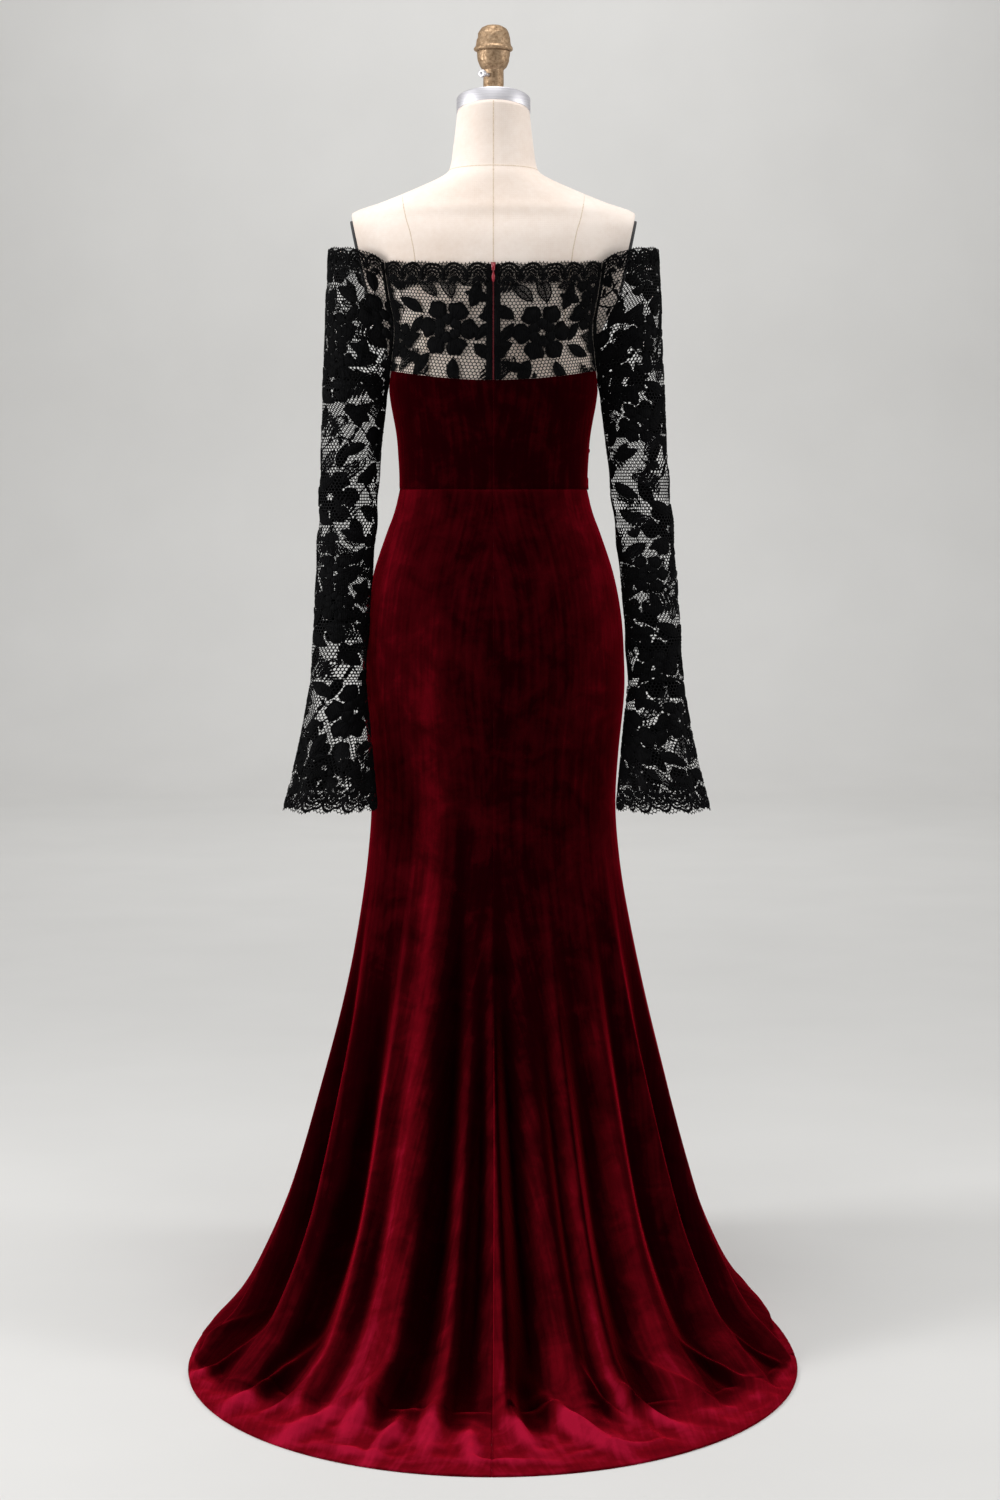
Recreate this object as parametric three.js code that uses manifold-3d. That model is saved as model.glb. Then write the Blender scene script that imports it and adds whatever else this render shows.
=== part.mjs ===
// A floor-length mermaid evening gown on a limbless dress form, in millimetres.
// The gown: a stretch-velvet bodice and fluted skirt with a short train, a lace yoke,
// off-the-shoulder lace sleeves with bell cuffs, and an invisible zip down the centre back.
// +Z is up, +Y is the front of the gown, -Y its back and train, and +X its wearer's right.
// The origin is on the floor, under the pole of the form.
import * as THREE from "three";
import Module from "manifold-3d";
import { mergeVertices } from "three/addons/utils/BufferGeometryUtils.js";

const { degToRad: radians, radToDeg: degrees, lerp, smoothstep, euclideanModulo } = THREE.MathUtils;

// Cloth and clearances
const VELVET = 1.6;
const LACE = 1.1;
const TRIM = 0.8;
const EASE = 1.3; // from the form's cover to the velvet's inner face
const SEAM_GAP = 0.3; // between two panels along their seam
const REST_GAP = 0.3; // between pieces that lie on each other

// Heights of the gown. centre is at the middle of the back or front, and the edge climbs by rise to the sides.
const WAIST_Z = 1080;
const ZIP_END_Z = 866;
const VELVET_TOP = { centre: 1224, rise: 16 };
const BACK_NECK = { centre: 1380, rise: 8 };
const FRONT_NECK = { centre: 1372, rise: 30 };
// How far the armhole seam has turned round the body from its side, at the velvet's top and at the neckline.
const ARMHOLE = { velvet: radians(15), neck: radians(42) };

// The gown's outer surface, level by level. side is half the width, ahead and behind are the reach
// from the axis to the front and to the back, and mid is where along Y the level is widest.
const FIGURE = [
  { z: 1.6, side: 366, ahead: 272, behind: 540, mid: -285 },
  { z: 11, side: 356, ahead: 270, behind: 520, mid: -262 },
  { z: 26, side: 338, ahead: 267, behind: 494, mid: -240 },
  { z: 46, side: 316, ahead: 263, behind: 462, mid: -210 },
  { z: 92, side: 288, ahead: 253, behind: 398, mid: -152 },
  { z: 145, side: 265, ahead: 243, behind: 338, mid: -108 },
  { z: 203, side: 248, ahead: 228, behind: 284, mid: -76 },
  { z: 264, side: 233, ahead: 213, behind: 238, mid: -50 },
  { z: 390, side: 204.5, ahead: 181, behind: 170, mid: -20 },
  { z: 522, side: 180, ahead: 148, behind: 126, mid: -6 },
  { z: 590, side: 170, ahead: 132, behind: 112, mid: -3 },
  { z: 657, side: 165, ahead: 118, behind: 106, mid: 0 },
  { z: 725, side: 168.5, ahead: 110, behind: 110, mid: 0 },
  { z: 806, side: 176.5, ahead: 107, behind: 124, mid: 0 },
  { z: 860, side: 176, ahead: 109, behind: 129, mid: 0 },
  { z: 914, side: 172, ahead: 111, behind: 126, mid: 0 },
  { z: 968, side: 161.6, ahead: 110, behind: 114, mid: 0 },
  { z: 1022, side: 144, ahead: 103, behind: 96, mid: 0 },
  { z: 1049, side: 134, ahead: 96, behind: 88, mid: 0 },
  { z: 1080, side: 127.5, ahead: 90, behind: 82, mid: 0 },
  { z: 1130, side: 129, ahead: 92, behind: 83, mid: 0 },
  { z: 1157, side: 131.6, ahead: 100, behind: 86, mid: 0 },
  { z: 1198, side: 139, ahead: 115, behind: 90, mid: 0 },
  { z: 1225, side: 142, ahead: 123, behind: 93, mid: 0 },
  { z: 1260, side: 145, ahead: 126, behind: 96, mid: 0 },
  { z: 1300, side: 152, ahead: 114, behind: 99, mid: 0 },
  { z: 1340, side: 172, ahead: 100, behind: 100, mid: 0 },
  { z: 1384, side: 194, ahead: 88, behind: 99, mid: 0 },
  { z: 1420, side: 205, ahead: 80, behind: 94, mid: 0 },
];
// The train's edge on the floor, in the same columns.
const HEM = { z: VELVET, side: 376, ahead: 282, behind: 729, mid: -300 };
const TRAIN_ROWS = 2;
const SKIRT_Z = [VELVET, 14, 36, 68, 110, 165, 235, 315, 400, 490, 580, 657, 725, 760, 806, 866, 920, 968,
  1022, WAIST_Z];

// The skirt's flutes: foot is the place of the ridge at the hem and top where it starts, in degrees
// round from the gown's right side, with -90 at the centre back. start is the height where it starts.
const FLUTES = [
  { foot: -162, top: -173, start: 300, half: 8, depth: 12 },
  { foot: -147, top: -163, start: 620, half: 9, depth: 22 },
  { foot: -129, top: -131, start: 560, half: 11, depth: 16 },
  { foot: -110, top: -102, start: 480, half: 8, depth: 16 },
  { foot: -91, top: -96, start: 300, half: 7, depth: 9 },
  { foot: -73, top: -89, start: 500, half: 9, depth: 18 },
  { foot: -56, top: -74, start: 430, half: 8, depth: 16 },
  { foot: -40, top: -57, start: 420, half: 8, depth: 15 },
  { foot: -23, top: -40, start: 560, half: 8, depth: 15 },
  { foot: -4, top: -18, start: 400, half: 9, depth: 14 },
  { foot: 18, top: 14, start: 560, half: 12, depth: 18 },
  { foot: 42, top: 44, start: 600, half: 13, depth: 20 },
  { foot: 68, top: 70, start: 480, half: 12, depth: 16 },
  { foot: 94, top: 97, start: 590, half: 13, depth: 20 },
  { foot: 121, top: 124, start: 520, half: 12, depth: 17 },
  { foot: 148, top: 152, start: 610, half: 13, depth: 20 },
  { foot: 173, top: 171, start: 400, half: 9, depth: 13 },
];
const FLUTE_SPREAD = 1.6; // a flute fades out at this many of its half-widths
const FLUTE_TOP_Z = 700; // the skirt is smooth above this height
const FLUTE_FOOT_Z = { none: -25, full: 35 }; // heights between which a flute fades out towards the floor

// A sleeve, from the wrist to the neckline: outer and inner are its two edges from the axis,
// mid the place of its middle along Y, and round half its depth.
const SLEEVE = [
  { z: 826, outer: 248, inner: 175, mid: -52, round: 29 },
  { z: 914, outer: 243.5, inner: 170, mid: -42, round: 30 },
  { z: 968, outer: 241, inner: 166, mid: -32, round: 31 },
  { z: 1049, outer: 237, inner: 159, mid: -16, round: 32.5 },
  { z: 1130, outer: 233, inner: 152.5, mid: -6, round: 34 },
  { z: 1217, outer: 230.5, inner: 143.5, mid: 0, round: 37 },
  { z: 1290, outer: 227.5, inner: 143, mid: -2, round: 52 },
  { z: 1340, outer: 226, inner: 143, mid: -4, round: 62 },
  { z: 1404, outer: 221, inner: 143, mid: -5, round: 66 },
];
const ARM_Z = [826, 905, 975, 1049, 1125, 1180]; // the sleeve's rows below the armpit
const SLEEVE_LEAN = 4.5; // the right sleeve hangs this much further out than the table, the left one less far
const LEAN_FULL_Z = 900; // the lean is full below this height, and has gone at the armpit
const LEAN_END = 10; // this far below the armpit
// How much higher the sleeve's head is over the arm than at its seams, and the share of the way up the
// armhole where it gets there.
const SLEEVE_HEAD = { rise: 19, full: 0.5 };
const SLEEVE_DEPTH = 1.04; // of half the armhole's width, at least
const WRIST_Z = ARM_Z[0];
// The bell cuff below the seam at the wrist, with the depth of its waves.
const CUFF = [
  { z: 655, out: 220.5, half: 58, mid: -76, round: 50, wave: 5 },
  { z: 700, out: 217, half: 51, mid: -68, round: 42, wave: 4 },
  { z: 760, out: 213.5, half: 43.5, mid: -58, round: 35, wave: 2 },
  { z: WRIST_Z, out: 211.5, half: 36.5, mid: -52, round: 29, wave: 0 },
];
const CUFF_WAVES = 6;

// How each panel is divided: columns across and rows along.
const BODY_STEP = radians(7.5);
const SKIRT_COLUMNS = { back: 15, front: 22 };
const BODICE_ROWS = 5;
const YOKE_ROWS = 5;
const SLEEVE_COLUMNS = 14;
const CUFF_GRID = { columns: 24, rows: 3 };
const COIL_ROWS = 20;

// The dress form
const FORM_Z = [760, 806, 866, 920, 968, 1022, 1080, 1109, 1138, 1167, 1196, 1225, 1252,
  1280, 1310, 1340, 1368, 1396, 1420];
const SHOULDERS = [
  { z: 1440, side: 203, ahead: 71, behind: 84, mid: 0, tilt: 0 },
  { z: 1455, side: 186, ahead: 67, behind: 80, mid: 0, tilt: 0 },
  { z: 1466, side: 154, ahead: 63, behind: 74, mid: 0, tilt: 0 },
  { z: 1486, side: 105, ahead: 58, behind: 66, mid: 0, tilt: 0 },
  { z: 1502, side: 70, ahead: 55, behind: 60, mid: 1, tilt: 0.02 },
  { z: 1511, side: 60, ahead: 54, behind: 55, mid: 2, tilt: 0.03 },
  { z: 1545, side: 54, ahead: 54, behind: 47, mid: 4, tilt: 0.12 },
  { z: 1589, side: 49, ahead: 54.5, behind: 43.5, mid: 6, tilt: 0.235 },
];
// The form is cut off flat where its arms would be, by a plane that leans out towards the shoulder.
const ARM_CUT = { z: 1240, reach: 146, slope: 0.214 };
const ARM_PLATE = { z: 1394, half_height: 50, half_depth: 33, thick: 4 };
const NECK_PLATE = { radius: 50, height: 19, y: 6, z: 1589, tilt: 0.235 };
const POLE = { radius: 14, flange: 45, flange_thick: 8, taper: 14 };
const BASE = { radius: 165, thick: 12, bevel: 4, hub_radius: 34, hub_z: 40 };
const ROUND_STEPS = 32;
const FORM_STEPS = 48;

// Half-outlines of the cast knob on top of the form: the cup on its stem, and the cap over it.
const KNOB_CUP = [
  { radius: 9, z: 1612.8 },
  { radius: 9, z: 1616 },
  { radius: 17, z: 1616 },
  { radius: 17, z: 1619 },
  { radius: 13.7, z: 1621 },
  { radius: 13.7, z: 1646 },
  { radius: 17.5, z: 1650 },
  { radius: 21, z: 1658 },
  { radius: 22.2, z: 1667 },
  { radius: 22.2, z: 1671.5 },
];
const KNOB_CAP = [
  { radius: 24.5, z: 1671.8 },
  { radius: 26.2, z: 1673.5 },
  { radius: 26, z: 1676 },
  { radius: 23.6, z: 1679 },
  { radius: 22.6, z: 1687 },
  { radius: 20.6, z: 1696 },
  { radius: 16.5, z: 1703 },
  { radius: 9, z: 1707 },
];
const SCREW = { z: 1638, turn: radians(-121), shank_radius: 2.6, shank: 12, head_radius: 5.2, head: 5,
  bore: 1.2, bore_depth: 2, chamfer: 1 };

// The zip
const ZIP_GAP = 3; // between the two back panels where the zip lies
const COIL = { width: 1.05, thick: 1.2 };
const SLIDER = { z: 1373, width: 5.2, height: 9, depth: 3.2 };
const BAIL = { width: 1.2, bar: 1.2, half_height: 3.6, reach: 3.4 };
const PULL = { width: 4.6, length: 20, thick: 1.2, eye: 3.5, eye_width: 2.2, waist: 1.5, tip: 1.2 };
const TRIM_AT_ZIP = SLIDER.width / 2 + 0.6;
const TRIM_AT_ARMHOLE = 0.8;
const ZIP_SHORT = 1; // the coils end this far below the neckline

const BACK = -Math.PI / 2;

// A column of a table at height z, by a smooth curve through its rows.
function at(table, column, z) {
  const rows = table[0].z < table[table.length - 1].z ? table : [...table].reverse();
  const last = rows.length - 1;
  const above = rows.findIndex((row) => row.z > z);
  const i = above < 0 ? last - 1 : Math.max(above - 1, 0);
  const slope = (n) => {
    const before = rows[Math.max(n - 1, 0)];
    const after = rows[Math.min(n + 1, last)];
    return (after[column] - before[column]) / (after.z - before.z);
  };
  const span = rows[i + 1].z - rows[i].z;
  const s = Math.min(Math.max((z - rows[i].z) / span, 0), 1);
  const rise = (rows[i + 1][column] - rows[i][column]) * s * s * (3 - 2 * s);
  const bend = slope(i) * s * (1 - s) ** 2 - slope(i + 1) * s * s * (1 - s);
  return rows[i][column] + rise + span * bend;
}

// The level of a table at height z, drawn in all round by inset.
function levelAt(table, z, inset = 0) {
  const level = { z, mid: at(table, "mid", z) };
  for (const column of ["side", "ahead", "behind"]) level[column] = at(table, column, z) - inset;
  return level;
}

// A point of a level: an ellipse with its own front and back halves.
// turn is 0 at +X and -90 degrees at the back.
function onLevel(level, turn) {
  const reach = Math.sin(turn) > 0 ? level.ahead - level.mid : level.behind + level.mid;
  return new THREE.Vector3(level.side * Math.cos(turn), level.mid + reach * Math.sin(turn), level.z);
}

// The outward push of the skirt's flutes. flat runs from 0 on the standing skirt to 1 at the hem.
function flutes(turn, z, flat) {
  if (z >= FLUTE_TOP_Z) return 0;
  let push = 0;
  for (const flute of FLUTES) {
    const grown = 1 - smoothstep(z, 0, flute.start);
    const off = euclideanModulo(degrees(turn) - lerp(flute.top, flute.foot, grown) + 180, 360) - 180;
    const across = Math.max(0, 1 - Math.abs(off) / (flute.half * FLUTE_SPREAD));
    const level = (flute.half * FLUTE_SPREAD) / 360; // the flute's mean height all round
    push += flute.depth * grown * (across * across * (3 - 2 * across) - level);
  }
  return push * (1 - flat) * smoothstep(z, FLUTE_FOOT_Z.none, FLUTE_FOOT_Z.full);
}

// The velvet's outer surface at height z, or on the floor at a share flat of the way to the train's edge.
function velvetPoint(turn, z, flat = 0) {
  const foot = levelAt(FIGURE, z);
  const level = { z };
  for (const column of ["side", "ahead", "behind", "mid"]) level[column] = lerp(foot[column], HEM[column], flat);
  const point = onLevel(level, turn);
  const along = onLevel(level, turn + 1e-3).sub(point).normalize();
  return point.addScaledVector(new THREE.Vector3(along.y, -along.x, 0), flutes(turn, z, flat));
}

// The frame of a surface at a place on it: the point, its outward normal, and its two directions.
function frameOf(surface, u, v) {
  const step = 1e-3;
  const across = surface(Math.min(u + step, 1), v).sub(surface(Math.max(u - step, 0), v)).normalize();
  const along = surface(u, Math.min(v + step, 1)).sub(surface(u, Math.max(v - step, 0))).normalize();
  return { point: surface(u, v), normal: across.clone().cross(along).normalize(), across, along };
}

// A surface lifted off another, over the part of it that runs from v = from to its top.
const raised = (surface, lift, from) => (u, v) => {
  const { point, normal } = frameOf(surface, u, lerp(from, 1, v));
  return point.addScaledVector(normal, lift);
};

// A closed wall. outer(u, v) gives its outer surface, u across and v along, both from 0 to 1.
// Each of its edges is drawn back along the wall by half the seam gap, or by its own entry in pulled.
function wall(outer, columns, rows, thick, pulled = {}) {
  const half = SEAM_GAP / 2;
  const pull = { left: half, right: half, bottom: half, top: half, ...pulled };
  const faces = [[], []];
  for (let j = 0; j <= rows; j++)
    for (let i = 0; i <= columns; i++) {
      const { point, normal, across, along } = frameOf(outer, i / columns, j / rows);
      const by = (edge) => (typeof pull[edge] === "function" ? pull[edge](point.z) : pull[edge]);
      if (i === 0) point.addScaledVector(across, by("left"));
      if (i === columns) point.addScaledVector(across, -by("right"));
      if (j === 0) point.addScaledVector(along, by("bottom"));
      if (j === rows) point.addScaledVector(along, -by("top"));
      faces[0].push(point);
      faces[1].push(point.clone().addScaledVector(normal, -thick));
    }
  return closed(faces[0], faces[1], columns + 1, rows + 1);
}

// A geometry from points and triangles, with its faces turned outwards.
function solid(points, index) {
  let volume = 0;
  for (let k = 0; k < index.length; k += 3)
    volume += points[index[k]].dot(points[index[k + 1]].clone().cross(points[index[k + 2]]));
  if (volume < 0) index.reverse();
  const geometry = new THREE.BufferGeometry().setFromPoints(points);
  geometry.setIndex(index);
  geometry.computeVertexNormals();
  return geometry;
}

// A solid from two grids of points, one behind the other, joined round their rims.
function closed(front, behind, width, height) {
  const base = width * height;
  const index = [];
  const quad = (a, b, c, d) => index.push(a, b, c, a, c, d);
  for (let j = 0; j < height - 1; j++)
    for (let i = 0; i < width - 1; i++) {
      const a = j * width + i;
      quad(a, a + 1, a + width + 1, a + width);
      quad(base + a, base + a + width, base + a + width + 1, base + a + 1);
    }
  for (let i = 0; i < width - 1; i++) {
    const top = (height - 1) * width + i;
    quad(i, base + i, base + i + 1, i + 1);
    quad(top, top + 1, base + top + 1, base + top);
  }
  for (let j = 0; j < height - 1; j++) {
    const a = j * width;
    const b = a + width - 1;
    quad(a, a + width, base + a + width, base + a);
    quad(b, base + b, base + b + width, b + width);
  }
  return solid([...front, ...behind], index);
}

// A solid lofted through rings of points, all of the same count, and closed by flat ends.
function loft(rings) {
  const count = rings[0].length;
  const middle = (ring) => ring.reduce((sum, p) => sum.add(p), new THREE.Vector3()).divideScalar(count);
  const points = [...rings.flat(), middle(rings[0]), middle(rings[rings.length - 1])];
  const [low, high] = [points.length - 2, points.length - 1];
  const top = (rings.length - 1) * count;
  const index = [];
  for (let i = 0; i < count; i++) {
    const next = (i + 1) % count;
    for (let j = 0; j < top; j += count) index.push(j + i, j + next, j + next + count);
    for (let j = 0; j < top; j += count) index.push(j + i, j + next + count, j + i + count);
    index.push(low, next, i, high, top + i, top + next);
  }
  return solid(points, index);
}

// A turned solid about the Z axis from a half-outline, closed along the axis at both ends.
function turned(outline) {
  const [first, last] = [outline[0], outline[outline.length - 1]];
  const rows = [{ radius: 0, z: first.z }, ...outline, { radius: 0, z: last.z }];
  const profile = rows.map((row) => new THREE.Vector2(row.radius, row.z));
  return new THREE.LatheGeometry(profile, ROUND_STEPS).rotateX(Math.PI / 2);
}

const wasm = await Module();
wasm.setup();

// Two geometries joined into one closed solid.
function joined(a, b) {
  const manifold = (geometry) => {
    const bare = geometry.clone();
    bare.deleteAttribute("normal");
    bare.deleteAttribute("uv");
    const merged = mergeVertices(bare);
    return new wasm.Manifold(
      new wasm.Mesh({
        numProp: 3,
        vertProperties: new Float32Array(merged.getAttribute("position").array),
        triVerts: new Uint32Array(merged.getIndex().array),
      }),
    );
  };
  const mesh = manifold(a).add(manifold(b)).getMesh();
  const geometry = new THREE.BufferGeometry();
  geometry.setAttribute("position", new THREE.BufferAttribute(mesh.vertProperties, 3));
  geometry.setIndex(new THREE.BufferAttribute(mesh.triVerts, 1));
  geometry.computeVertexNormals();
  return geometry;
}

const group = new THREE.Group();
const finish = (color, roughness, metalness = 0) => new THREE.MeshStandardMaterial({ color, roughness, metalness });
const velvet = finish("#5a0710", 0.75);
const lace = finish("#121213", 0.9);
const zipRed = finish("#8e1128", 0.55);
const linen = finish("#e9d9c6", 0.9);
const dark = finish("#3a3a3c", 0.6);
const steel = finish("#b9b7bb", 0.3, 1);
const brass = finish("#a07a3c", 0.45, 0.9);
const iron = finish("#2b2c2e", 0.6, 0.6);

// Adds a geometry to the model as a named piece.
function piece(name, geometry, material, parent = group) {
  const mesh = new THREE.Mesh(geometry, material);
  mesh.name = name;
  parent.add(mesh);
  return mesh;
}

// An edge that climbs from the centre to the sides, at a turn round the body.
const edgeHeight = (edge, turn) => edge.centre + edge.rise * Math.cos(turn) ** 2;

// The armhole seam's height where it has turned by fromSide, on a parabola through its two known places.
const SEAM_SHARE = (ARMHOLE.velvet / ARMHOLE.neck) ** 2;
const SEAM_TOP_Z = edgeHeight(BACK_NECK, ARMHOLE.neck);
const ARMPIT_Z = (edgeHeight(VELVET_TOP, ARMHOLE.velvet) - SEAM_TOP_Z * SEAM_SHARE) / (1 - SEAM_SHARE);
const armholeHeight = (fromSide) => lerp(ARMPIT_Z, SEAM_TOP_Z, (fromSide / ARMHOLE.neck) ** 2);

// The top edge of the velvet: the armhole near the sides, and the seam with the yoke between them.
function velvetTop(turn) {
  const fromSide = Math.asin(Math.min(1, Math.abs(Math.sin(turn))));
  return Math.min(edgeHeight(VELVET_TOP, turn), armholeHeight(fromSide));
}

// The yoke's surface from its side edge, at u = 0, to the middle of the back or front, at u = 1.
// Its inner face lies in line with the velvet's.
function yokePoint(neck, middle, u, v) {
  const fromSide = (share) => ARMHOLE.neck * Math.sqrt(lerp(SEAM_SHARE, 1, share));
  const sign = Math.sign(middle);
  const turn = (share) => sign * lerp(fromSide(share), Math.PI / 2, u);
  const z = lerp(velvetTop(turn(0)), edgeHeight(neck, turn(1)), v);
  return onLevel(levelAt(FIGURE, z, VELVET - LACE), turn(v));
}

const mirrored = (point) => new THREE.Vector3(-point.x, point.y, point.z);
const besideZip = (z) => (z > ZIP_END_Z - SEAM_GAP ? ZIP_GAP / 2 : SEAM_GAP / 2);

// A lace panel, and the scalloped border that lies on its top row.
function lacePanel(name, surface, columns, rows, pulled, borderPulled) {
  piece(name, wall(surface, columns, rows, LACE, pulled), lace);
  const border = raised(surface, REST_GAP + TRIM, 1 - 1 / rows);
  piece(name.replace("yoke", "trim").replace("sleeve", "trim_sleeve"),
    wall(border, columns, 1, TRIM, { bottom: 0, ...borderPulled }), lace);
}

// The bodice: a front, and a back on each side of the zip.
function addBodice() {
  const panel = (from, to) => (u, v) => {
    const turn = lerp(from, to, u);
    return velvetPoint(turn, lerp(WAIST_Z, velvetTop(turn), v));
  };
  const side = Math.round(Math.PI / 2 / BODY_STEP);
  const left = wall(panel(-Math.PI, BACK), side, BODICE_ROWS, VELVET, { right: besideZip });
  const right = wall(panel(BACK, 0), side, BODICE_ROWS, VELVET, { left: besideZip });
  piece("bodice_back_left", left, velvet);
  piece("bodice_back_right", right, velvet);
  piece("bodice_front", wall(panel(0, Math.PI), 2 * side, BODICE_ROWS, VELVET), velvet);
}

// The skirt: a front, and two backs that run out into the train.
function addSkirt() {
  const rows = TRAIN_ROWS + SKIRT_Z.length - 1;
  const panel = (from, to) => (u, v) => {
    const turn = lerp(from, to, u);
    const place = v * rows - TRAIN_ROWS;
    if (place < 0) return velvetPoint(turn, VELVET, -place / TRAIN_ROWS);
    const k = Math.min(Math.floor(place), SKIRT_Z.length - 2);
    return velvetPoint(turn, lerp(SKIRT_Z[k], SKIRT_Z[k + 1], place - k));
  };
  const { back, front } = SKIRT_COLUMNS;
  const left = wall(panel(-Math.PI, BACK), back, rows, VELVET, { right: besideZip, bottom: 0 });
  const right = wall(panel(BACK, 0), back, rows, VELVET, { left: besideZip, bottom: 0 });
  piece("skirt_back_left", left, velvet);
  piece("skirt_back_right", right, velvet);
  piece("skirt_front", wall(panel(0, Math.PI), front, rows, VELVET, { bottom: 0 }), velvet);
}

// The lace yoke above the velvet, between the armhole seams.
function addYoke() {
  const columns = Math.round((Math.PI / 2 - ARMHOLE.velvet) / BODY_STEP);
  const right = (u, v) => yokePoint(BACK_NECK, BACK, 1 - u, v);
  const left = (u, v) => mirrored(right(1 - u, v));
  const front = (u, v) =>
    u < 0.5 ? yokePoint(FRONT_NECK, -BACK, 2 * u, v) : mirrored(yokePoint(FRONT_NECK, -BACK, 2 - 2 * u, v));
  const atArmhole = TRIM_AT_ARMHOLE;
  lacePanel("yoke_back_left", left, columns, YOKE_ROWS, { right: besideZip },
    { right: TRIM_AT_ZIP, left: atArmhole });
  lacePanel("yoke_back_right", right, columns, YOKE_ROWS, { left: besideZip },
    { left: TRIM_AT_ZIP, right: atArmhole });
  lacePanel("yoke_front", front, 2 * columns, YOKE_ROWS, {}, { left: atArmhole, right: atArmhole });
}

// A place on the armhole seam. Steps 0 to cornerStep run along the bodice, and the rest along the yoke.
function armholePoint(neck, middle, step) {
  const cornerStep = Math.round(ARMHOLE.velvet / BODY_STEP);
  if (step >= cornerStep) return yokePoint(neck, middle, 0, (step - cornerStep) / YOKE_ROWS);
  const fromSide = step * BODY_STEP;
  return velvetPoint(Math.sign(middle) * fromSide, armholeHeight(fromSide));
}

// A sleeve: one panel, wrapped round the arm and sewn to itself below the armpit.
// Above it the two edges part, and run up the armhole seams to the neckline.
function addSleeve(name, hand) {
  const steps = Math.round(ARMHOLE.velvet / BODY_STEP) + YOKE_ROWS;
  const rows = ARM_Z.length + steps;
  const surface = (u, v) => {
    const round = 2 * u - 1; // -1 at the back edge and 1 at the front one
    const place = v * rows;
    const step = place - ARM_Z.length;
    let [back, front] = [0, 0];
    let z = 0;
    if (step < 0) {
      const k = Math.floor(place);
      z = lerp(ARM_Z[k], ARM_Z[k + 1] ?? ARMPIT_Z, place - k);
      back = front = new THREE.Vector3(at(SLEEVE, "inner", z), at(SLEEVE, "mid", z), z);
    } else {
      back = armholePoint(BACK_NECK, BACK, step);
      front = armholePoint(FRONT_NECK, -BACK, step);
      const rise = SLEEVE_HEAD.rise * smoothstep(step / steps, 0, SLEEVE_HEAD.full);
      z = lerp(back.z, front.z, u) + (1 - round ** 4) * rise;
    }
    const half = (front.y - back.y) / 2;
    const depth = Math.max(at(SLEEVE, "round", z), half * SLEEVE_DEPTH);
    const open = Math.PI - Math.asin(half / depth);
    const edge = lerp(back.x, front.x, u) + (step < 0 ? 0 : SEAM_GAP * 2);
    const outer = at(SLEEVE, "outer", z);
    const centre = (edge - outer * Math.cos(open)) / (1 - Math.cos(open));
    const lean = hand * SLEEVE_LEAN * (1 - smoothstep(z, LEAN_FULL_Z, ARMPIT_Z - LEAN_END));
    const x = centre + (outer - centre) * Math.cos(round * open) + lean;
    return new THREE.Vector3(x, (front.y + back.y) / 2 + depth * Math.sin(round * open), z);
  };
  const outward = hand > 0 ? surface : (u, v) => mirrored(surface(1 - u, v));
  const atArmhole = { left: TRIM_AT_ARMHOLE, right: TRIM_AT_ARMHOLE };
  lacePanel(name, outward, SLEEVE_COLUMNS, rows, {}, atArmhole);
}

// The bell cuffs: a flounce sewn round the wrist, falling in waves.
function addCuff(name, hand) {
  const surface = (u, v) => {
    const z = lerp(CUFF[0].z, WRIST_Z, v);
    const angle = (2 * u - 1) * Math.PI;
    const wave = at(CUFF, "wave", z) * Math.cos(CUFF_WAVES * angle);
    const x = at(CUFF, "out", z) + hand * SLEEVE_LEAN + (at(CUFF, "half", z) + wave) * Math.cos(angle);
    return new THREE.Vector3(x, at(CUFF, "mid", z) + (at(CUFF, "round", z) + wave) * Math.sin(angle), z);
  };
  const outward = hand > 0 ? surface : (u, v) => mirrored(surface(1 - u, v));
  piece(name, wall(outward, CUFF_GRID.columns, CUFF_GRID.rows, LACE), lace);
}

// A box given by its lowest and highest corners.
function boxBetween(low, high) {
  const size = high.map((value, k) => value - low[k]);
  const box = new THREE.BoxGeometry(...size);
  return box.translate(...low.map((value, k) => value + size[k] / 2));
}

// The flat pull tab in its own frame: it hangs down from its eye, which turns about the X axis.
function pullGeometry() {
  const { width, length, thick, eye, eye_width, waist, tip } = PULL;
  const half = width / 2;
  const bar = thick / 2;
  const outline = new THREE.Shape();
  outline.moveTo(-half, bar);
  outline.lineTo(-half, bar - eye);
  outline.lineTo(-waist, -eye - 2 * bar);
  outline.lineTo(-half, -length + half);
  outline.lineTo(-tip, -length);
  outline.lineTo(tip, -length);
  outline.lineTo(half, -length + half);
  outline.lineTo(waist, -eye - 2 * bar);
  outline.lineTo(half, bar - eye);
  outline.lineTo(half, bar);
  const hole = new THREE.Path();
  const edge = eye_width / 2;
  hole.moveTo(-edge, -bar);
  hole.lineTo(edge, -bar);
  hole.lineTo(edge, -eye);
  hole.lineTo(-edge, -eye);
  outline.holes.push(hole);
  const tab = new THREE.ExtrudeGeometry(outline, { depth: thick, bevelEnabled: false });
  return tab.translate(0, 0, -bar).rotateX(Math.PI / 2);
}

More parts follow.
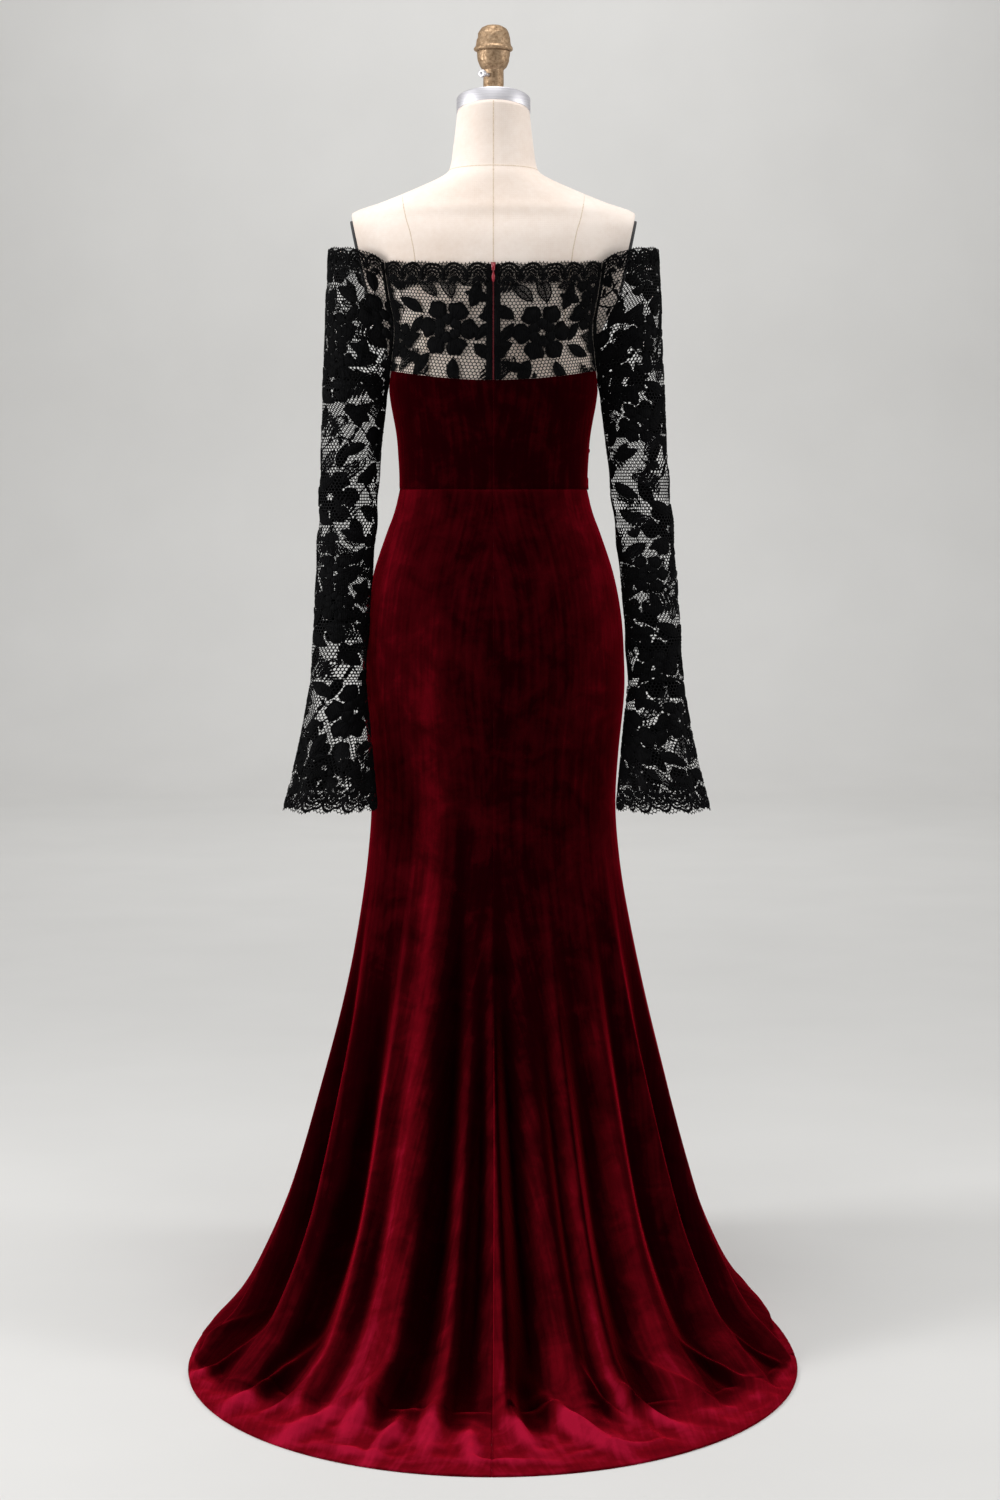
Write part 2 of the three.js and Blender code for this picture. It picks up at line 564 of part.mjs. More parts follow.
// The invisible zip: a coil along each back edge, the slider with its bail, and the pull tab on the bail.
function addZip() {
  const face = (z) => -at(FIGURE, "behind", z);
  const coil = (side) => (u, v) => {
    const z = lerp(ZIP_END_Z, BACK_NECK.centre - ZIP_SHORT, v);
    const x = side * (SEAM_GAP / 2) + (side > 0 ? u : u - 1) * COIL.width;
    return new THREE.Vector3(x, face(z), z);
  };
  const square = { left: 0, right: 0, bottom: 0, top: 0 };
  piece("zip_coil_left", wall(coil(-1), 1, COIL_ROWS, COIL.thick, square), zipRed);
  piece("zip_coil_right", wall(coil(1), 1, COIL_ROWS, COIL.thick, square), zipRed);

  const seat = Math.min(face(SLIDER.z - SLIDER.height / 2), face(SLIDER.z + SLIDER.height / 2)) - REST_GAP;
  const outside = seat - SLIDER.depth;
  const [low, high] = [SLIDER.z - SLIDER.height / 2, SLIDER.z + SLIDER.height / 2];
  const body = boxBetween([-SLIDER.width / 2, outside, low], [SLIDER.width / 2, seat, high]);
  const arch = new THREE.Shape();
  const { bar, half_height, reach, width } = BAIL;
  const root = -bar; // the bail's feet are sunk in the slider
  arch.moveTo(root, -half_height);
  arch.lineTo(reach, -half_height);
  arch.lineTo(reach, half_height);
  arch.lineTo(root, half_height);
  arch.lineTo(root, half_height - bar);
  arch.lineTo(reach - bar, half_height - bar);
  arch.lineTo(reach - bar, bar - half_height);
  arch.lineTo(root, bar - half_height);
  const bail = new THREE.ExtrudeGeometry(arch, { depth: width, bevelEnabled: false });
  bail.translate(0, 0, -width / 2);
  bail.applyMatrix4(
    new THREE.Matrix4().makeBasis(
      new THREE.Vector3(0, -1, 0),
      new THREE.Vector3(0, 0, 1),
      new THREE.Vector3(-1, 0, 0),
    ),
  );
  bail.translate(0, outside, SLIDER.z);
  piece("zip_slider", joined(body, bail), zipRed);

  const clearance = PULL.thick / 2 + REST_GAP;
  const swing = new THREE.Group();
  swing.position.set(0, outside - (reach - bar) / 2, SLIDER.z - half_height + bar + clearance);
  group.add(swing);
  piece("zip_pull", pullGeometry(), zipRed, swing);
}

// The padded torso of the form, flat where its arms would be, with its neck cut off at a slant.
function addTorso() {
  const inset = VELVET + EASE;
  const levels = FORM_Z.map((z) => ({ ...levelAt(FIGURE, z, inset), tilt: 0 })).concat(SHOULDERS);
  const rings = levels.map((level) => {
    const cut = level.z < ARM_CUT.z ? Infinity : ARM_CUT.reach + ARM_CUT.slope * (level.z - ARM_CUT.z);
    return Array.from({ length: FORM_STEPS }, (_, i) => {
      const point = onLevel(level, (i / FORM_STEPS) * 2 * Math.PI);
      point.x = Math.sign(point.x) * Math.min(Math.abs(point.x), cut);
      point.z -= level.tilt * (point.y - level.mid);
      return point;
    });
  });
  piece("form_torso", loft(rings), linen);
}

// The plates that close the flat ends at the arms, and the plate on the neck.
function addPlates() {
  for (const [name, hand] of [["arm_plate_left", -1], ["arm_plate_right", 1]]) {
    const plate = new THREE.CylinderGeometry(1, 1, ARM_PLATE.thick, ROUND_STEPS);
    plate.scale(ARM_PLATE.half_depth, 1, ARM_PLATE.half_height);
    const lean = Math.atan(ARM_CUT.slope);
    plate.rotateZ(Math.PI / 2).rotateY(hand * lean);
    const reach = ARM_CUT.reach + ARM_CUT.slope * (ARM_PLATE.z - ARM_CUT.z);
    const out = REST_GAP + ARM_PLATE.thick / 2;
    plate.translate(hand * (reach + out * Math.cos(lean)), 0, ARM_PLATE.z - out * Math.sin(lean));
    piece(name, plate, dark);
  }
  const { radius, height, tilt, y, z } = NECK_PLATE;
  const plate = new THREE.CylinderGeometry(radius, radius, height, ROUND_STEPS).rotateX(Math.PI / 2);
  plate.translate(0, 0, height / 2 + REST_GAP);
  plate.rotateX(-Math.atan(tilt));
  plate.translate(0, y, z);
  piece("neck_plate", plate, steel);
}

// The cast knob above the neck, in two parts, and the set screw in its stem.
function addKnob() {
  piece("finial_cup", turned(KNOB_CUP), brass);
  piece("finial_cap", turned(KNOB_CAP), brass);
  const stem = KNOB_CUP[5].radius;
  const { shank_radius, head_radius, shank, head, turn, z, bore, bore_depth, chamfer } = SCREW;
  const screw = turned([
    { radius: shank_radius, z: 0 },
    { radius: shank_radius, z: shank },
    { radius: head_radius, z: shank },
    { radius: head_radius, z: shank + head - chamfer },
    { radius: head_radius - chamfer, z: shank + head },
    { radius: bore, z: shank + head },
    { radius: bore, z: shank + head - bore_depth },
  ]);
  screw.rotateY(Math.PI / 2).translate(stem + REST_GAP, 0, 0).rotateZ(turn).translate(0, 0, z);
  piece("finial_screw", screw, steel);
}

// The pole and the round base inside the skirt.
function addStand() {
  const { radius, thick, bevel, hub_radius, hub_z } = BASE;
  const base = turned([
    { radius, z: 0 },
    { radius, z: thick - bevel },
    { radius: radius - bevel, z: thick },
    { radius: hub_radius, z: thick },
    { radius: hub_radius, z: hub_z },
  ]);
  piece("stand_base", base, iron);
  const top = FORM_Z[0] - REST_GAP;
  const pole = turned([
    { radius: POLE.radius, z: hub_z + REST_GAP },
    { radius: POLE.radius, z: top - POLE.flange_thick - POLE.taper },
    { radius: POLE.flange, z: top - POLE.flange_thick },
    { radius: POLE.flange, z: top },
  ]);
  piece("stand_pole", pole, iron);
}

addBodice();
addSkirt();
addYoke();
addSleeve("sleeve_left", -1);
addSleeve("sleeve_right", 1);
addCuff("cuff_left", -1);
addCuff("cuff_right", 1);
addZip();
addTorso();
addPlates();
addKnob();
addStand();

export default group;
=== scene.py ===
"""A mermaid gown in burgundy stretch velvet and black floral lace, on a limbless dress form.

+Z is up, -Y is the gown's back and train, and +X is its wearer's right. The tables of sizes are in
millimetres, like the gown's pattern, and every mesh is made in metres.
"""

import logging
import math
from dataclasses import dataclass, field
from enum import Enum

import bmesh
import bpy
import numpy as np
from mathutils import Matrix, Vector, noise


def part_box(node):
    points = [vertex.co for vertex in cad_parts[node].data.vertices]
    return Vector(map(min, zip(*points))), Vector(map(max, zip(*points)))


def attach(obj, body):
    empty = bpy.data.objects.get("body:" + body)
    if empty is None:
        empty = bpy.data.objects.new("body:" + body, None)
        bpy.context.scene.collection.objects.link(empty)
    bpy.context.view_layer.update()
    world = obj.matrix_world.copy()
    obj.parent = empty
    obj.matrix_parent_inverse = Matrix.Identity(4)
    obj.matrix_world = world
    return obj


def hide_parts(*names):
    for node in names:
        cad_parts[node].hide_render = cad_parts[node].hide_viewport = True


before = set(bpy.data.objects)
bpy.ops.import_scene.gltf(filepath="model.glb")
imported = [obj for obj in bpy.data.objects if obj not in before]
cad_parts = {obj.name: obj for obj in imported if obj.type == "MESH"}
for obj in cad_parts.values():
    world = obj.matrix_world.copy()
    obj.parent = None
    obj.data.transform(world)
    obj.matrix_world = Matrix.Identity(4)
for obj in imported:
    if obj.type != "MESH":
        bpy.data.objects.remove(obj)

LOG = logging.getLogger("gown")
MM = 0.001
BACK = -math.pi / 2
Array = np.ndarray
Pair = tuple[float, float]
Path = list[Pair]
Cells = tuple[int, int]
Solid = bmesh.types.BMesh
Material = bpy.types.Material
Tree = bpy.types.NodeTree
Socket = bpy.types.NodeSocket


# Sizes shared by the pieces


@dataclass(frozen=True)
class Level:
    """One level of the body or of the form, in millimetres.

    side is half the width, ahead and behind are the reach to the front and to the back, mid is
    where along Y the level is widest, and tilt is how steeply the level rises towards the back.
    """

    z: float
    side: float
    ahead: float
    behind: float
    mid: float = 0.0
    tilt: float = 0.0


@dataclass(frozen=True)
class ArmLevel:
    """One level of a sleeve or cuff, in millimetres.

    outer and inner are its edges, mid its middle along Y, round half its depth, and wave how far a
    flounce ripples there.
    """

    z: float
    outer: float
    inner: float
    mid: float
    round: float
    wave: float = 0.0


FIGURE = (
    Level(1.6, 366, 272, 540, -285),
    Level(11, 356, 270, 520, -262),
    Level(26, 338, 267, 494, -240),
    Level(46, 316, 263, 462, -210),
    Level(92, 288, 253, 398, -152),
    Level(145, 265, 243, 338, -108),
    Level(203, 248, 228, 284, -76),
    Level(264, 233, 213, 238, -50),
    Level(390, 204.5, 181, 170, -20),
    Level(522, 180, 148, 126, -6),
    Level(590, 170, 132, 112, -3),
    Level(657, 165, 118, 106),
    Level(725, 168.5, 110, 110),
    Level(806, 176.5, 107, 124),
    Level(860, 176, 109, 129),
    Level(914, 172, 111, 126),
    Level(968, 161.6, 110, 114),
    Level(1022, 144, 103, 96),
    Level(1049, 134, 96, 88),
    Level(1080, 127.5, 90, 82),
    Level(1130, 129, 92, 83),
    Level(1157, 131.6, 100, 86),
    Level(1198, 139, 115, 90),
    Level(1225, 142, 123, 93),
    Level(1260, 145, 126, 96),
    Level(1300, 152, 114, 99),
    Level(1340, 172, 100, 100),
    Level(1384, 194, 88, 99),
    Level(1420, 205, 80, 94),
)
HEM = Level(1.6, 376, 282, 729, -300)
SHOULDERS = (
    Level(1440, 203, 71, 84),
    Level(1455, 186, 67, 80),
    Level(1466, 154, 63, 74),
    Level(1486, 105, 58, 66),
    Level(1502, 70, 55, 60, 1, 0.02),
    Level(1511, 60, 54, 55, 2, 0.03),
    Level(1545, 54, 54, 47, 4, 0.12),
    Level(1589, 49, 54.5, 43.5, 6, 0.235),
)
SLEEVE = (
    ArmLevel(826, 248, 175, -52, 29),
    ArmLevel(914, 243.5, 170, -42, 30),
    ArmLevel(968, 241, 166, -32, 31),
    ArmLevel(1049, 237, 159, -16, 32.5),
    ArmLevel(1130, 233, 152.5, -6, 34),
    ArmLevel(1217, 230.5, 143.5, 0, 37),
    ArmLevel(1290, 227.5, 143, -2, 52),
    ArmLevel(1340, 226, 143, -4, 62),
    ArmLevel(1404, 221, 143, -5, 66),
)
CUFF = (
    ArmLevel(655, 278.5, 162.5, -76, 50, 5),
    ArmLevel(700, 268, 166, -68, 42, 4),
    ArmLevel(760, 257, 170, -58, 35, 2),
    ArmLevel(826, 248, 175, -52, 29, 0),
)


class Table:
    """Rows of sizes against height, joined by a smooth curve."""

    def __init__(self, rows: tuple[Level, ...] | tuple[ArmLevel, ...]) -> None:
        """Keeps the rows.

        Args:
            rows: The rows, from the lowest to the highest.
        """
        self.rows = rows
        self.heights = np.array([row.z for row in rows])

    def at(self, column: str, z: Array) -> Array:
        """Reads one column at some heights.

        Args:
            column: The column's name.
            z: The heights, in millimetres.

        Returns:
            The sizes at those heights, in millimetres.
        """
        values = np.array([getattr(row, column) for row in self.rows])
        before = np.maximum(np.arange(len(values)) - 1, 0)
        after = np.minimum(np.arange(len(values)) + 1, len(values) - 1)
        slopes = (values[after] - values[before]) / (self.heights[after] - self.heights[before])
        k = np.clip(np.searchsorted(self.heights, z, side="right") - 1, 0, len(values) - 2)
        span = self.heights[k + 1] - self.heights[k]
        s = np.clip((z - self.heights[k]) / span, 0.0, 1.0)
        rise = (values[k + 1] - values[k]) * s * s * (3 - 2 * s)
        return values[k] + rise + span * (slopes[k] * s * (1 - s) ** 2 - slopes[k + 1] * s * s * (1 - s))


BODY = Table(FIGURE)
FORM = Table(FIGURE + SHOULDERS)
ARM = Table(SLEEVE)
BELL = Table(CUFF)

WAIST_Z = 1080.0
WRIST_Z = 826.0
ZIP_END_Z = 866.0
VELVET_THICK = 1.6
NET_THICK = 0.21
FLOWER_THICK = 0.3
SLEEVE_LEAN = 4.5


@dataclass(frozen=True)
class Edge:
    """An edge round the body that climbs from its centre to its sides, in millimetres."""

    centre: float
    rise: float

    def height(self, turn: Array) -> Array:
        """Gives the edge's height at a turn round the body."""
        return self.centre + self.rise * np.cos(turn) ** 2


VELVET_TOP = Edge(1224, 16)
BACK_NECK = Edge(1380, 8)
FRONT_NECK = Edge(1372, 30)
ARMHOLE_LOW = math.radians(15)
ARMHOLE_HIGH = math.radians(42)
SEAM_SHARE = (ARMHOLE_LOW / ARMHOLE_HIGH) ** 2
SEAM_TOP_Z = float(BACK_NECK.height(np.float64(ARMHOLE_HIGH)))
ARMPIT_Z = (
    float(VELVET_TOP.height(np.float64(ARMHOLE_LOW))) - SEAM_TOP_Z * SEAM_SHARE
) / (1 - SEAM_SHARE)


def lerp(a: Array | float, b: Array | float, share: Array | float) -> Array | float:
    """Gives the value at a share of the way from a to b."""
    return a + (b - a) * share


def smoothstep(low: float, high: float, value: Array) -> Array:
    """Rises smoothly from 0 at low to 1 at high."""
    s = np.clip((value - low) / (high - low), 0.0, 1.0)
    return s * s * (3 - 2 * s)


def level_point(
    levels: Table, turn: Array, z: Array, inset: float = 0.0, flat: Array | float = 0.0
) -> Array:
    """Places points on the levels of the body.

    Args:
        levels: The table of levels.
        turn: Each point's angle round the body, 0 at +X and a quarter turn back at the centre back.
        z: Each point's height, in millimetres.
        inset: How far the points lie inside the table's sizes.
        flat: Each point's share of the way out over the floor to the train's edge.

    Returns:
        The points, in millimetres.
    """
    sizes = {}
    for name in ("side", "ahead", "behind", "mid"):
        less = 0.0 if name == "mid" else inset
        sizes[name] = lerp(levels.at(name, z) - less, getattr(HEM, name), flat)
    ahead = sizes["ahead"] - sizes["mid"]
    behind = sizes["behind"] + sizes["mid"]
    reach = np.where(np.sin(turn) > 0, ahead, behind)
    return np.stack(
        [sizes["side"] * np.cos(turn), sizes["mid"] + reach * np.sin(turn), z + 0 * turn], axis=-1
    )


def armhole_height(from_side: Array) -> Array:
    """Gives the armhole seam's height where it has turned round the body from its side by an angle."""
    return lerp(ARMPIT_Z, SEAM_TOP_Z, (from_side / ARMHOLE_HIGH) ** 2)


def velvet_top(turn: Array) -> Array:
    """Gives the height of the velvet's top edge, which is the armhole near the sides."""
    from_side = np.arcsin(np.minimum(1.0, np.abs(np.sin(turn))))
    return np.minimum(VELVET_TOP.height(turn), armhole_height(from_side))


def mirrored(points: Array) -> Array:
    """Turns points of the right side into points of the left."""
    return points * np.array([-1.0, 1.0, 1.0])


# Surfaces that the cloth follows


class Surface:
    """A cloth surface. u runs across it and v up it, both from 0 to 1, and its outer face is seen."""

    STEP = 1e-3
    # The painted light of a plain panel, even all over.
    PLAIN_PAINTED_LIGHT = 0.34

    def place(self, u: Array, v: Array) -> Array:
        """Gives the points at u and v."""
        raise NotImplementedError

    def lifted(self, u: Array, v: Array, lift: Array | float) -> Array:
        """Gives points that stand out from the surface.

        Args:
            u: The share across of each point.
            v: The share up of each point.
            lift: How far out each point is, in millimetres.

        Returns:
            The points, in millimetres.
        """
        step = self.STEP
        across = self.place(np.minimum(u + step, 1), v) - self.place(np.maximum(u - step, 0), v)
        along = self.place(u, np.minimum(v + step, 1)) - self.place(u, np.maximum(v - step, 0))
        normal = np.cross(across, along)
        normal /= np.maximum(np.linalg.norm(normal, axis=-1, keepdims=True), 1e-9)
        return self.place(u, v) + normal * np.reshape(lift + 0 * u, (-1, 1))

    def painted_light(self, u: Array, v: Array) -> Array:
        """Gives the pile's painted light and shade, from 0 for painted shade in a deep hollow to 1 for a
        painted highlight on a crest.
        """
        return np.full_like(u, self.PLAIN_PAINTED_LIGHT)


@dataclass
class Mirror(Surface):
    """The left piece of a pair, made from the right one."""

    right: Surface

    def place(self, u: Array, v: Array) -> Array:
        """Gives the points at u and v."""
        return mirrored(self.right.place(1 - u, v))


@dataclass
class BodicePanel(Surface):
    """A velvet bodice panel between two turns round the body, eased in along its side seams."""

    start: float
    end: float
    waver: float = 0.35

    def place(self, u: Array, v: Array) -> Array:
        """Gives the points at u and v."""
        turn = lerp(self.start, self.end, u)
        z = lerp(WAIST_Z, velvet_top(turn), v)
        points = level_point(BODY, turn, z)
        ripple = self.waver * (np.sin(points[:, 0] / 9.0 + z / 31.0) * np.sin(z / 13.0 + turn * 7.0))
        points[:, 1] += ripple * np.sign(np.sin(turn))
        return points


@dataclass(frozen=True)
class Fold:
    """One flute or crease of the skirt.

    top, foot and tail are its place in degrees round the body where it starts, where the standing
    skirt meets the floor, and at the train's edge. start is the height where it starts, half its
    half-width in degrees, and depth its height in millimetres. crisp is 1 for a round ridge, and less
    for one with a sharp crest.
    """

    top: float
    foot: float
    tail: float
    start: float
    half: float
    depth: float
    crisp: float = 1.0


FOLDS = (
    Fold(-174, -172, -174, 420, 5.5, 20),
    Fold(-163, -160, -162, 500, 5.0, -14),
    Fold(-150, -147, -149, 480, 7.0, 18),
    Fold(-141, -142, -145, 300, 2.4, 9),
    Fold(-136, -137, -140, 430, 4.6, -22),
    Fold(-127, -127, -130, 560, 3.4, 18, 0.9),
    Fold(-121, -122, -125, 330, 2.4, -10),
    Fold(-114, -115, -119, 620, 9.0, 20),
    Fold(-109, -111, -115, 300, 2.2, 8),
    Fold(-103, -105, -110, 620, 5.2, -26, 0.9),
    Fold(-97, -99, -101, 480, 3.4, 18, 0.9),
    Fold(-93, -94, -96, 400, 2.4, -14),
    Fold(-90, -87, -82, 520, 2.6, 24, 0.8),
    Fold(-86, -81, -75, 430, 3.6, -22),
    Fold(-79, -72, -65, 500, 4.6, 20),
    Fold(-71, -68, -61, 380, 2.6, -14),
    Fold(-66, -64, -57, 520, 3.0, 20, 0.8),
    Fold(-58, -57, -52, 420, 4.4, -16),
    Fold(-49, -49, -45, 540, 5.0, 22),
    Fold(-40, -38, -34, 460, 4.0, -14),
    Fold(-31, -29, -26, 560, 5.0, 20),
    Fold(-20, -17, -15, 400, 5.0, -12),
    Fold(-9, -8, -7, 500, 6.5, 20),
    Fold(3, 6, 8, 250, 4.9, -14),
    Fold(14, 19, 19, 560, 9.7, 27),
    Fold(30, 31, 31, 420, 6.0, -18),
    Fold(44, 42, 42, 600, 10.2, 30),
    Fold(58, 55, 54, 300, 6.0, 14),
    Fold(70, 68, 67, 480, 9.1, 24),
    Fold(84, 81, 80, 420, 6.0, -16),
    Fold(97, 94, 94, 590, 9.7, 30),
    Fold(111, 108, 108, 280, 6.0, 16),
    Fold(124, 121, 121, 520, 9.1, 26),
    Fold(138, 135, 136, 400, 6.0, -18),
    Fold(152, 148, 149, 610, 9.7, 30),
    Fold(171, 173, 174, 400, 6.6, 21),
)


@dataclass(frozen=True)
class Crease:
    """A small crease in the train where it lies on the floor, in millimetres.

    x and y are its middle, heading its direction in degrees, length and width its size, and height
    how far it stands up.
    """

    x: float
    y: float
    heading: float
    length: float
    width: float
    height: float


CREASES = (
    Crease(-262, -438, 52, 190, 11, 15),
    Crease(-228, -470, 55, 150, 8, 8),
    Crease(-205, -560, 60, 170, 14, 11),
    Crease(-145, -520, 72, 190, 13, 17),
    Crease(-120, -610, 76, 170, 9, 10),
    Crease(-70, -560, 84, 200, 12, 13),
    Crease(-25, -640, 92, 140, 9, 8),
    Crease(30, -590, 104, 170, 10, 11),
    Crease(92, -575, 118, 210, 13, 19),
    Crease(120, -500, 122, 150, 7, 10),
    Crease(168, -520, 128, 160, 10, 14),
    Crease(205, -450, 140, 150, 8, 11),
    Crease(262, -400, 152, 130, 10, 12),
    Crease(300, -330, 166, 110, 8, 10),
    Crease(-315, -350, 32, 130, 12, 11),
    Crease(-330, -280, 12, 110, 8, 8),
    Crease(20, -690, 175, 120, 7, 5),
    Crease(150, -640, 205, 110, 7, 5),
    Crease(-160, -655, 335, 120, 8, 5),
)


@dataclass(frozen=True)
class ToneStripe:
    """A stripe of the skirt painted lighter or darker.

    middle and half are its place and half-width in degrees round the body, more is how much lighter it
    is painted, and full and gone are the heights between which it fades, in millimetres.
    """

    middle: float
    half: float
    more: float
    full: float
    gone: float


TONE_STRIPES = (ToneStripe(-119, 9, 0.16, 800, 1000), ToneStripe(-87, 13, -0.15, 250, 700))


@dataclass
class SkirtPanel(Surface):
    """A velvet skirt panel between two turns round the body, from the train's edge to the waist."""

    start: float
    end: float
    train_share: float = 0.2
    crowding: float = 1.7
    floor_z: float = 1.6
    full_at: float = 0.2
    gone_at: float = 1.25
    ridge_power: float = 1.9
    ridge_share: float = 1.8
    crumple: float = 1.1
    crease_bend: float = 6e-4
    crease_taper: float = 0.42
    near_floor_fold: float = 0.55
    foot_soft: float = 20.0
    foot_soft_share: float = 0.12
    foot_rise: float = 12.0
    lowest_dip: float = -3.0
    train_fold: float = 0.42
    edge_wave: float = 2.2
    hip_wave: float = 0.5
    # Painted light and shade of the velvet's pile, which the velvet's colour reads.
    standing_painted_light: float = 0.4
    train_painted_light: float = 0.66
    side_painted_light: Pair = (-0.16, 0.34)
    hem_painted_light: float = 0.12
    crest_mm: float = 75.0
    slope_painted_light: float = 0.065
    crease_painted_light: float = 0.05

    def heights(self, v: Array) -> tuple[Array, Array]:
        """Gives the height at v, and the share of the way out over the floor."""
        flat = np.clip(1 - v / self.train_share, 0.0, 1.0)
        up = np.clip((v - self.train_share) / (1 - self.train_share), 0.0, 1.0)
        return lerp(self.floor_z, WAIST_Z, up**self.crowding), flat

    def fold_lift(self, turn: Array, z: Array, flat: Array) -> Array:
        """Gives how far the folds stand out of the skirt."""
        degrees = np.degrees(turn)
        lift = np.zeros_like(turn)
        for fold in FOLDS:
            grown = 1 - smoothstep(self.full_at * fold.start, self.gone_at * fold.start, z)
            drift = 1 - smoothstep(0.0, fold.start, z)
            middle = lerp(lerp(fold.top, fold.foot, drift), fold.tail, flat)
            off = (degrees - middle + 180.0) % 360.0 - 180.0
            shape = np.exp(-((np.abs(off) / fold.half) ** (self.ridge_power * fold.crisp)))
            lift += fold.depth * grown * (shape - fold.half * self.ridge_share / 360.0)
        return lift

    def crease_lift(self, points: Array) -> Array:
        """Gives how far the creases stand up from the floor, and the fine crumple between them."""
        x = points[:, 0]
        y = points[:, 1]
        rows = np.sin(x / 9 + 2.2 * np.sin(y / 23)) * np.sin(y / 13 + 1.7 * np.sin(x / 31))
        lift = self.crumple * (rows + 1)
        for crease in CREASES:
            heading = math.radians(crease.heading)
            dx = x - crease.x
            dy = y - crease.y
            along = dx * math.cos(heading) + dy * math.sin(heading)
            across = dy * math.cos(heading) - dx * math.sin(heading) + along**2 * self.crease_bend
            reach = crease.length * self.crease_taper
            shape = np.exp(-((across / crease.width) ** 2) - (along / reach) ** 2)
            lift += crease.height * shape
        return lift

    def painted_light(self, u: Array, v: Array) -> Array:
        """Gives the pile's painted light: painted highlights on crests, on slopes that face the left, on
        the sides high up and on the train, and painted shade in hollows.
        """
        turn = lerp(self.start, self.end, u)
        z, flat = self.heights(v)
        here = self.fold_lift(turn, z, flat)
        slope = self.fold_lift(turn + math.radians(0.8), z, flat) - here
        # Painted highlight on the crests, painted shade in the hollows, and painted light on the slopes
        # that face the lamp on the left.
        standing = self.standing_painted_light + here / self.crest_mm - self.slope_painted_light * slope * np.sin(turn)
        # Painted sheen at the sides high up, and painted shade there near the floor.
        standing += np.cos(turn) ** 4 * lerp(*self.side_painted_light, smoothstep(350.0, 800.0, z))
        # Lighter near the hem.
        standing += self.hem_painted_light * (1 - smoothstep(0.0, 120.0, z))
        for stripe in TONE_STRIPES:
            inside = np.exp(-(((np.degrees(turn) - stripe.middle) / stripe.half) ** 2))
            standing += stripe.more * inside * (1 - smoothstep(stripe.full, stripe.gone, z))
        # Painted light on the train where it lies on the floor, lighter on the creases' tops.
        lying = self.train_painted_light + self.crease_painted_light * self.crease_lift(self.place(u, v))
        return np.clip(lerp(standing, lying, smoothstep(0.0, 0.4, flat)), 0.0, 1.0)

    def place(self, u: Array, v: Array) -> Array:
        """Gives the points at u and v."""
        turn = lerp(self.start, self.end, u)
        z, flat = self.heights(v)
        points = level_point(BODY, turn, z, flat=flat)
        nearby = level_point(BODY, turn + 1e-3, z, flat=flat) - points
        nearby /= np.linalg.norm(nearby, axis=-1, keepdims=True)
        push = self.fold_lift(turn, z, flat)
        standing = push * (1 - flat) ** 2 * lerp(self.near_floor_fold, 1.0, smoothstep(0.0, 50.0, z))
        points[:, 0] += nearby[:, 1] * standing
        points[:, 1] -= nearby[:, 0] * standing
        points[:, 2] += self.foot_lift(points, turn) * (1 - flat) ** 0.5
        near_floor = 1 - smoothstep(2.0, 70.0, z)
        edge = smoothstep(0.0, 0.28, 1 - flat)
        ridge = np.maximum(push, self.lowest_dip) * self.train_fold * (1 - flat) ** 0.7
        hump = ridge + self.crease_lift(points)
        points[:, 2] += np.maximum(hump, 0.0) * near_floor * edge
        ripple = self.edge_wave * (0.5 + 0.5 * np.sin(turn * 23.0)) * smoothstep(0.0, 0.06, v)
        points[:, 2] += ripple * near_floor * (1 - edge)
        hips = smoothstep(700.0, 780.0, z) * (1 - smoothstep(1000.0, 1070.0, z))
        wave = self.hip_wave * np.sin(points[:, 0] / 17.0 + z / 23.0) * np.sin(z / 19.0)
        points[:, 1] += hips * wave
        return points

    def foot_lift(self, points: Array, turn: Array) -> Array:
        """Rounds the bend where the standing skirt turns out over the floor.

        Args:
            points: The points of the skirt, in millimetres.
            turn: Each point's turn round the body.

        Returns:
            How far each point is lifted, in millimetres.
        """
        floor = np.full_like(turn, self.floor_z)
        foot = level_point(BODY, turn, floor)
        rim = level_point(BODY, turn, floor, flat=1.0)
        above = level_point(BODY, turn, floor + self.foot_rise)
        away = np.hypot(points[:, 0] - foot[:, 0], points[:, 1] - foot[:, 1])
        train = np.hypot(rim[:, 0] - foot[:, 0], rim[:, 1] - foot[:, 1])
        run = np.hypot(above[:, 0] - foot[:, 0], above[:, 1] - foot[:, 1])
        soft = np.clip(train * self.foot_soft_share, 1.0, self.foot_soft)
        slope = self.foot_rise / np.maximum(run, self.foot_rise / 2)
        return slope * soft * np.log1p(np.exp(-away / soft))


@dataclass
class YokePanel(Surface):
    """A lace yoke panel from the centre of the back or front, at u = 0, to the armhole at u = 1."""

    neck: Edge
    middle: float
    inset: float = VELVET_THICK - 1.1

    def side(self, u: Array, v: Array) -> Array:
        """Gives points with u running from the armhole, at 0, to the centre, at 1."""
        sign = math.copysign(1.0, self.middle)

        def turn_at(share: Array | float) -> Array:
            """Gives the turn at a share of the way up the armhole."""
            from_side = ARMHOLE_HIGH * np.sqrt(lerp(SEAM_SHARE, 1.0, share))
            return sign * lerp(from_side, math.pi / 2, u)

        z = lerp(velvet_top(turn_at(0.0)), self.neck.height(turn_at(1.0)), v)
        return level_point(BODY, turn_at(v), z, self.inset)

    def place(self, u: Array, v: Array) -> Array:
        """Gives the points at u and v."""
        return self.side(1 - u, v)


@dataclass
class FrontYoke(Surface):
    """The lace yoke's front, in one piece from armhole to armhole."""

    half: YokePanel = field(default_factory=lambda: YokePanel(FRONT_NECK, math.pi / 2))

    def place(self, u: Array, v: Array) -> Array:
        """Gives the points at u and v."""
        right = self.half.side(np.clip(2 * u, 0, 1), v)
        left = mirrored(self.half.side(np.clip(2 - 2 * u, 0, 1), v))
        return np.where((u < 0.5)[:, None], right, left)


